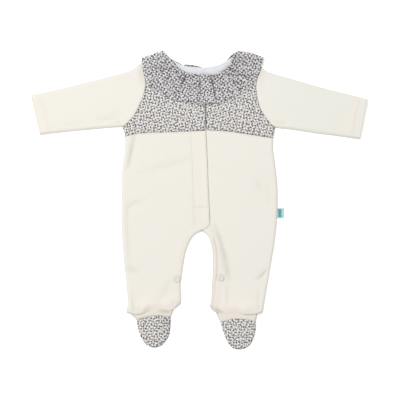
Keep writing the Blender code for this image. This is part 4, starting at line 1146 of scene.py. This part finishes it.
def build_facing(white):
    """White strip inside the back neck, on the back panel."""
    rows, columns = counts(FACING_WIDTH, FACING_LENGTH)
    v = np.linspace(0, 1, rows + 1)[:, None, None]
    grid = (1 - v) * spaced(FACING, columns)[None] + v * spaced(FACING_LOWER, columns)[None]
    height = FACING_TOP + back_lift(grid) + 0.10 * waves(grid, 14, 7)
    height -= 0.35 * rolled(distance(grid, smooth(FACING)), EDGE_ROUND)
    # painted shade: darker towards the lower edge, in soft patches and beside the left ruffle, less towards
    # its end at -x
    hollow = 0.30 * ease(v[..., 0], 0.2, 0.7) + 0.14 * waves(grid, 13, 8)
    hollow += 0.24 * bell(distance(grid, smooth(RUFFLE_LEFT)[:, :2]), 3.5)
    hollow -= 0.25 * fade(grid[..., 0], -36, -22)
    return cloth("neck_facing_cloth", "neck_facing", raised(grid, height), THIN_CLOTH, white, hollow=hollow)


def cuff_line(side):
    """Lower and upper end of a cuff."""
    return np.array([SLEEVE_LOWER[side][-1], SLEEVE_UPPER[side][-1]], float)


def sleeve_surface(points, side):
    """Upper face of a sleeve, folded at its upper edge, with its turned hem, and its painted shade."""
    height, hollow = front_surface(points, seam_shade=0.12)
    to_cuff = distance(points, cuff_line(side))
    from_lower = distance(points, smooth(SLEEVE_LOWER[side]))
    to_fold = distance(points, smooth(SLEEVE_UPPER[side]))
    from_armpit = np.linalg.norm(points - STUB[side][0], axis=-1)
    calm = ease(from_lower, 0, 5) * ease(to_fold, 0, 5)
    height += calm * HEM_RISE * fade(to_cuff, HEM_DEPTH - HEM_STEP / 2, HEM_DEPTH + HEM_STEP / 2)
    for at in HEM_STITCHES:
        height -= 0.12 * calm * bell(to_cuff - at, 1.0)
    height += 0.10 * waves(points, 9, 11) * calm * bell(to_cuff - HEM_DEPTH - 3, 5.0)
    height -= 0.3 * rolled(to_cuff, EDGE_ROUND) * calm
    below = 1.5 + 1.6 * ease(to_cuff, 0, 50) * ease(from_armpit, 0, 60)
    line = bell(from_lower - below - 1.0, 0.8) * ease(to_cuff, 0, 4)
    height -= 0.40 * line
    # painted shade along the crease above the lower edge, at the fold, at the cuff and at the hem's step
    hollow += 0.16 * line + 0.08 * fade(from_lower, below, below + 1.0)
    fold_rim, cuff_rim = SLEEVE_RIMS[side]
    hollow += fold_rim * fade(to_fold, 0.3, 4) + cuff_rim * fade(to_cuff, 0.1, 2.0)
    hollow += 0.05 * bell(to_cuff - HEM_DEPTH - 0.6, 0.9)
    return FOLD_MIDDLE + (height - FOLD_MIDDLE) * quarter_round(to_fold / SLEEVE_FOLD_ROUND), hollow


def build_sleeve(side, jersey):
    """Sleeve as a flattened tube, folded along its upper edge and sewn along its lower one."""
    armhole = ARMHOLE[side][::-1]
    rows, even_rows = counts(SLEEVE_LENGTH, SLEEVE_WIDTH)
    even = np.linspace(0, 1, even_rows + 1)
    share = np.sort(np.concatenate([even, (0.004, 0.009, 0.990, 0.994, 0.997, 0.999)]))
    low, high = spaced(SLEEVE_LOWER[side], rows), spaced(SLEEVE_UPPER[side], rows)
    start = read(spaced(armhole, even_rows), even, share)
    cuff = low[-1] + share[:, None] * (high[-1] - low[-1])
    at_fold = ease(share, 0.8, 0.95)[:, None]
    top = trimmed(coons(start, cuff, low, high), left=HALF_SEAM + FOLD_CLEARANCE * at_fold)
    height, hollow = sleeve_surface(top, side)
    under = FOLD_MIDDLE * rolled(distance(top, smooth(SLEEVE_UPPER[side])), FOLD_MIDDLE)
    under += 0.15 * rolled(distance(top, smooth(SLEEVE_LOWER[side])), EDGE_ROUND)
    ring = np.concatenate([raised(top, height), raised(top, under)[::-1][1:]], axis=0)
    hollow = np.concatenate([hollow, np.zeros_like(under[1:])], axis=0)
    to_cuff = distance(ring[..., :2], cuff_line(side))
    if side == "right":
        warmth = (0.4 + 0.5 * ease(to_cuff, 8, 14)) * fade(to_cuff, HEM_DEPTH, HEM_DEPTH + 3)
    else:
        beyond_hem = ease(to_cuff, HEM_DEPTH + 8, HEM_DEPTH + 13)
        warmth = (0.8 * ease(to_cuff, 11, HEM_DEPTH) - 0.5) * (1 - beyond_hem)
        warmth -= beyond_hem * ease(distance(ring[..., :2], armhole), 10, 40)
    return cloth("sleeve_cloth_" + side, "sleeve_" + side, ring, CLOTH, jersey, flip=side == "left",
                 warmth=warmth, hollow=hollow)


def ruffle_height(points):
    """Upper face of the front under the ruffle, plus the ruffle's own base."""
    return plain_height(points) + lap_rise(points) + RUFFLE_BASE


def ruffle_plan(table, rows):
    """Grid of a stretch of the ruffle, and the share of its width at each column."""
    ends, u = spaced(table, rows), np.linspace(0, 1, RUFFLE_ROWS["across"] + 1)[None, :]
    return ends[:, None, :2] * (1 - u[..., None]) + ends[:, None, 2:] * u[..., None], u


def ruffle_front(side):
    """Gathered stretch of the ruffle over one front: its points and its painted shade in pleats and gathers.
    """
    is_right = side == "right"
    plan, u = ruffle_plan(RUFFLE_RIGHT if is_right else RUFFLE_LEFT, RUFFLE_ROWS["front"])
    t = np.linspace(0, 1, RUFFLE_ROWS["front"] + 1)[:, None]
    from_lap, y = t if is_right else 1 - t, plan[..., 1]
    turn = 2 * np.pi * RUFFLE_WAVES_FRONT * t + RUFFLE_WAVE_DRIFT * np.sin(5 * t)
    wave = 0.5 - 0.5 * np.cos(turn)
    size = RUFFLE_WAVE_INNER + (RUFFLE_WAVE_OUTER - RUFFLE_WAVE_INNER) * u ** 1.3
    size = size * (0.62 + 0.38 * waves(plan, 55, 21))
    calm = ease(from_lap, *RUFFLE_CALM_LAP) * ease(1 - from_lap, 0, RUFFLE_CALM_SHOULDER)
    gathers = 0.5 - 0.5 * np.cos(2.6 * turn + 1.1 * np.sin(11 * t))
    near_neck = 0.55 * bell(u, 0.30) * ease(u, 0, 0.06)
    base, pleats = ruffle_height(plan), dents(plan, RUFFLE_PLEATS)
    height = base + wave * calm * size + gathers * near_neck
    height += 0.45 * np.minimum(dents(plan, RUFFLE_PLEATS, 2.4), 1.5) - 1.3 * pleats
    # painted shade in the pleats, between the waves and gathers, and near the neck
    hollow = np.minimum(0.62 * pleats, 0.9) + 0.12 * (1 - wave) * calm * ease(u, 0, 0.5)
    hollow += 0.25 * (1 - gathers) * near_neck + 0.10 * fade(u, 0, 0.4)
    if is_right:
        hollow -= 0.08 * ease(y, 220, 234)
        height += RUFFLE_LAP_RISE * fade(from_lap, *RUFFLE_LAP_FADE)
        height += 1.1 * fade(from_lap, 0.05, 0.16) * ease(u, 0.7, 1.0)
        height -= 0.5 * rolled(from_lap * RUFFLE_LENGTH, BACK_ROUND)
    else:
        corner_x, corner_y, slope = RUFFLE_FREE_CORNER
        # a gully beside the right part's edge, carrying a painted shadow
        gully = bell(plan[..., 0] - corner_x - (corner_y - y) * slope - 0.5, 1.3)
        height -= 1.1 * gully
        deep = ease(y, 160, 182) * fade(y, 198, 204)
        hollow += gully * (0.25 + 0.85 * deep) + 0.13 * ease(y, 216, 230)
    height = np.maximum(height, base - RUFFLE_DROP)
    height -= 0.4 * rolled(u * RUFFLE_WIDTH, 2.0)
    height -= 0.2 * rolled((1 - u) * RUFFLE_WIDTH, EDGE_ROUND)
    return raised(plan, height), hollow


def shoulder_fold(line, top, angles):
    """Rows of the ruffle round its fold at a shoulder, whose top is at these heights."""
    fold, radius, rows = spaced(line, RUFFLE_ROWS["across"]), top / 2, []
    for angle in np.radians(angles):
        back = np.outer(radius * (1 - np.cos(angle)), (0, 1))
        rows.append(raised(fold - back, radius + radius * np.sin(angle)))
    return np.array(rows)


def build_ruffle(printed):
    """Gathered ruffle in one strip: over both fronts, round the shoulders and under the back."""
    right, right_hollow = ruffle_front("right")
    left, left_hollow = ruffle_front("left")
    under, u = ruffle_plan(RUFFLE_BACK, RUFFLE_ROWS["back"])
    under = raised(under, 0.04 * (1 + waves(under, 12, 31)))
    folds = [shoulder_fold(SHOULDER_FOLD_RIGHT, right[-1, :, 2], FOLD_ANGLES),
             shoulder_fold(SHOULDER_FOLD_LEFT, left[0, :, 2], FOLD_ANGLES[::-1])]
    grid = np.concatenate([right, folds[0], under, folds[1], left])
    # no painted shade on the shoulder folds; painted shade on the strip under the back near its neck edge
    no_hollow = np.zeros((len(FOLD_ANGLES), u.shape[1]))
    under_hollow = 0.6 * fade(u, 0.05, 0.12) * np.ones((len(under), 1))
    hollow = np.concatenate([right_hollow, no_hollow, under_hollow, no_hollow, left_hollow])
    return cloth("ruffle_cloth", "neck_ruffle", grid, THIN_CLOTH, printed, shift=(-71, 44), turn=0.7,
                 hollow=hollow)


def build_foot(side, jersey, printed):
    """Instep, toe cap and sole of one foot."""
    foot, is_left = FOOT[side], side == "left"
    columns, cap_rows = counts(FOOT_WIDTH, CAP_LENGTH)
    instep_rows, ankle_rows = counts(INSTEP_LENGTH, SHORT_LENGTH)

    def panel(outer, inner, top, bottom):
        """A grid that faces up on either foot."""
        return coons(inner, outer, top[::-1], bottom[::-1]) if is_left else coons(outer, inner, top, bottom)

    seam, toe = spaced(foot["cap_seam"], columns), spaced(foot["toe"], columns)
    cap = panel(spaced(foot["outer_toe"], cap_rows), spaced(foot["inner_toe"], cap_rows), seam, toe)
    cap = trimmed(cap, top=HALF_SEAM)
    height, hollow = front_surface(cap, seam_shade=0.08)
    # painted shade on the inner side of the right toe cap
    if not is_left:
        hollow += 0.12 * ease(np.linspace(0, 1, columns + 1), 0.5, 1.0)[None, :]
    pieces = [cloth("toe_cap_cloth_" + side, "toe_cap_" + side, raised(cap, height), CLOTH, printed,
                    shift=(17, 61) if is_left else (90, 12), turn=1.9, hollow=hollow)]

    outer, inner = np.array(foot["outer_ankle"], float), np.array(foot["inner_ankle"], float)
    hidden = np.array(foot["hidden"]) + (seam - seam.mean(axis=0)) * INSTEP_TAPER
    outer_edge, inner_edge = (joined(spaced((end, ankle[1]), instep_rows), spaced(ankle[1:], ankle_rows))
                              for end, ankle in ((hidden[0], outer), (hidden[-1], inner)))
    instep = trimmed(panel(outer_edge, inner_edge, hidden, seam), bottom=HALF_SEAM)
    height, hollow = instep_surface(instep, side)
    pieces.append(cloth("instep_cloth_" + side, "instep_" + side, raised(instep, height), CLOTH, jersey,
                        warmth=1.0, hollow=hollow))

    outer_edge, inner_edge = (joined(spaced(ankle, ankle_rows), spaced(edge, cap_rows))
                              for ankle, edge in ((outer, foot["outer_toe"]), (inner, foot["inner_toe"])))
    heel = spaced((outer[0], inner[0]), columns)
    sole = trimmed(panel(outer_edge, inner_edge, heel, toe), top=SEAM)
    height = BACK_TOP - 0.25 * rolled(distance(sole, foot_outline(side)), SOLE_ROUND)
    pieces.append(cloth("sole_cloth_" + side, "sole_" + side, raised(sole, height), SOLE_CLOTH, jersey,
                        warmth=0.6, hollow=0.0))
    return pieces


def build_popper(side, pearl):
    """Round popper cap with a raised rim, on the leg's inner edge, tilted as the cloth is there."""
    place = np.array(POPPER_PLACES[side])
    height = plain_height(place + POPPER_PROBE * np.array([(0, 0), (-1, 0), (1, 0), (0, -1), (0, 1)]))
    slope = (height[[2, 4]] - height[[1, 3]]) / (2 * POPPER_PROBE)
    seat = max(height[0], height[1:].mean()) + POPPER_SEAT
    angle = np.arange(POPPER_SEGMENTS) * 2 * np.pi / POPPER_SEGMENTS
    circle = np.stack([np.cos(angle), np.sin(angle)], axis=1)
    points = [(*place, seat + POPPER_PROFILE[0][1])]
    for radius, rise in POPPER_PROFILE[1:]:
        points += list(raised(place + radius * circle, seat + rise + radius * circle @ slope))
    loops = 1 + np.arange(len(points) - 1).reshape(-1, POPPER_SEGMENTS)
    next_on = np.roll(loops, -1, axis=1)
    faces = [[0, *pair] for pair in zip(loops[0].tolist(), next_on[0].tolist())]
    quads = np.stack([loops[:-1], loops[1:], next_on[1:], next_on[:-1]], axis=-1)
    faces += quads.reshape(-1, 4).tolist() + [loops[-1, ::-1].tolist()]
    return add_piece("popper_cap_" + side, "popper_" + side, points, faces, pearl)


def build_label(ribbon):
    """Plain folded tag caught in the left side seam: one ribbon, out and back."""
    s = np.linspace(0, 1, LABEL_STEPS[0] + 1)
    bend = np.clip((s - LABEL_OUT) / LABEL_FOLD, 0, 1) * np.pi
    share = 0.96 * np.clip(np.minimum(s, 1 - s) / LABEL_OUT, 0, 1) + 0.04 * np.sin(bend)
    x = LABEL_X[0] + (LABEL_X[1] - LABEL_X[0]) * share
    y = np.linspace(*LABEL_Y, LABEL_STEPS[1] + 1)
    z = LABEL_MIDDLE + LABEL_HALF * np.cos(bend)
    grid = np.stack(np.broadcast_arrays(x[None, :], y[:, None], z[None, :]), axis=-1)
    return cloth("side_tag", "side_label", grid, RIBBON, ribbon)


# ---- Sewing

def beside(line, width):
    """The line moved sideways, to its left as it runs where the width is above 0."""
    along = unit(np.gradient(line, axis=0))
    return line + width * np.stack([-along[:, 1], along[:, 0]], axis=1)


def on_front(points):
    """Height of the cloth under a row of stitches."""
    return front_surface(points)[0]


def on_right_front(points):
    """The same on the right front, with its lap and where it lies double."""
    return on_front(points) + lap_rise(points) + DOUBLED_RISE * doubled_front(points, "right")


def on_left_front(points):
    """The same on the left front, with its dip beside the lap."""
    depth, half_width = LAP_TUCK
    return on_front(points) - depth * bell(lap(points), half_width)


def build_sewing(cream, white):
    """All visible rows of stitches, one object for each place: its lines and what they lie on."""
    rows = {}
    for side in SIDES:
        cuff = cuff_line(side)
        out = unit(cuff.mean(axis=0) - np.array([SLEEVE_UPPER[side][0], SLEEVE_LOWER[side][0]]).mean(axis=0))
        line = cuff[0] + (cuff[1] - cuff[0]) * np.linspace(0.02, 0.97, 60)[:, None]
        rows["hem_stitches_" + side] = ([line - out * at for at in HEM_STITCHES],
                                        lambda points, side=side: sleeve_surface(points, side)[0])
    edge = cut(CENTRE_EDGE, PLACKET_TOP_Y, PLACKET_END_Y)
    end = spaced(((14.6 - PLACKET_STITCHES[1], PLACKET_END_Y), (12.0, PLACKET_END_Y)), 20)
    rows["placket_stitches"] = ([edge - (at, 0) for at in PLACKET_STITCHES] + [end], on_right_front)
    for side, (width, end_y) in LEG_STITCHES.items():
        line = beside(cut(smooth(INNER[side][1:]), -63, end_y), width)
        rows["leg_stitches_" + side] = ([line], lambda points: on_front(points) + 0.12)
    for side, end_x, surface in (("right", 7.5, on_right_front), ("left", 200, on_left_front)):
        line = smooth(YOKE_SEAM[side])[1:-1] - (0, YOKE_STITCHES)
        rows["yoke_stitches_" + side] = ([line[line[:, 0] < end_x]], surface)
    made = {name: stitches(name, *row, cream) for name, row in rows.items()}
    made["facing_stitches"] = stitches(
        "facing_stitches", [smooth(FACING)[2:-2] - (0, FACING_STITCHES)],
        lambda points: FACING_TOP + back_lift(points) + 0.05 * waves(points, 14, 7), white)
    return made


# ---- Surroundings, in metres

def add_light(name, place, size, power, colour):
    """Round soft light that points at the origin."""
    light = bpy.data.lights.new(name, "AREA")
    light.shape = "DISK"
    light.size, light.energy, light.color = size, power, colour
    made = bpy.data.objects.new(name, light)
    made.location = place
    x, y, z = place
    made.rotation_euler = (math.acos(z / math.hypot(x, y, z)), 0, math.atan2(-y, -x) - math.pi / 2)
    bpy.context.scene.collection.objects.link(made)


def add_surroundings():
    """Pale floor, soft light from the upper left, and a camera straight above the middle."""
    scene = bpy.context.scene
    scene.view_settings.view_transform = "Standard"
    scene.world = bpy.data.worlds.new("studio")
    scene.world.use_nodes = True
    background = scene.world.node_tree.nodes["Background"]
    background.inputs["Color"].default_value = (1.0, 1.0, 1.0, 1)
    background.inputs["Strength"].default_value = 0.68
    add_light("key", (-1.0, 0.9, 2.3), 1.2, 30, (1.0, 0.995, 0.985))

    floor = bpy.data.meshes.new("floor")
    floor.from_pydata([(-3, -3, 0), (3, -3, 0), (3, 3, 0), (-3, 3, 0)], [], [(0, 1, 2, 3)])
    shade = Shade("pale_floor", (0.97, 0.97, 0.97), 0.9, Specular_IOR_Level=0.2)
    grain = shade.noise(shade.place(), 4.0)
    shade.put("Base Color", shade.mix(grain, (0.965, 0.965, 0.965), (0.985, 0.985, 0.985)))
    shade.put("Emission Color", (1.0, 1.0, 1.0, 1.0))
    shade.put("Emission Strength", 0.26)
    floor.materials.append(shade.material)
    ground = bpy.data.objects.new("floor", floor)
    ground.location.z = -0.0004
    scene.collection.objects.link(ground)

    camera = bpy.data.cameras.new("camera")
    sensor, away, seen = 36, 2.5, 0.66    # width, distance from the suit and width seen there
    camera.sensor_width = sensor
    camera.lens = sensor * away / seen
    camera.clip_end = 20
    viewer = bpy.data.objects.new("camera", camera)
    viewer.location = (-MIDDLE[0] * MM, -MIDDLE[1] * MM, away + 0.004)
    scene.collection.objects.link(viewer)
    scene.camera = viewer


def main():
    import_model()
    jersey, white = (jersey_material(), "jersey"), (facing_material(), "facing")
    ribbon, pearl = (label_material(), "label"), (popper_material(), "popper")
    yoke_print = (print_material("ditsy_print", *PRINTS["yoke"]), "print")
    ruffle_print = (print_material("ditsy_print_ruffle", *PRINTS["ruffle"]), "print")
    cream_thread = (thread_material("cream_thread", (0.80, 0.77, 0.70), (0.62, 0.58, 0.50)), "jersey")
    white_thread = (thread_material("white_thread", (0.80, 0.82, 0.86), (0.60, 0.63, 0.70)), "facing")
    made = [build_back(jersey), build_underlap(jersey), build_facing(white), build_ruffle(ruffle_print),
            build_label(ribbon)]
    for side in SIDES:
        made += [build_front(side, jersey), build_yoke(side, yoke_print), build_sleeve(side, jersey)]
        made += build_foot(side, jersey, yoke_print)
        build_popper(side, pearl)
    build_sewing(cream_thread, white_thread)
    add_surroundings()


main()
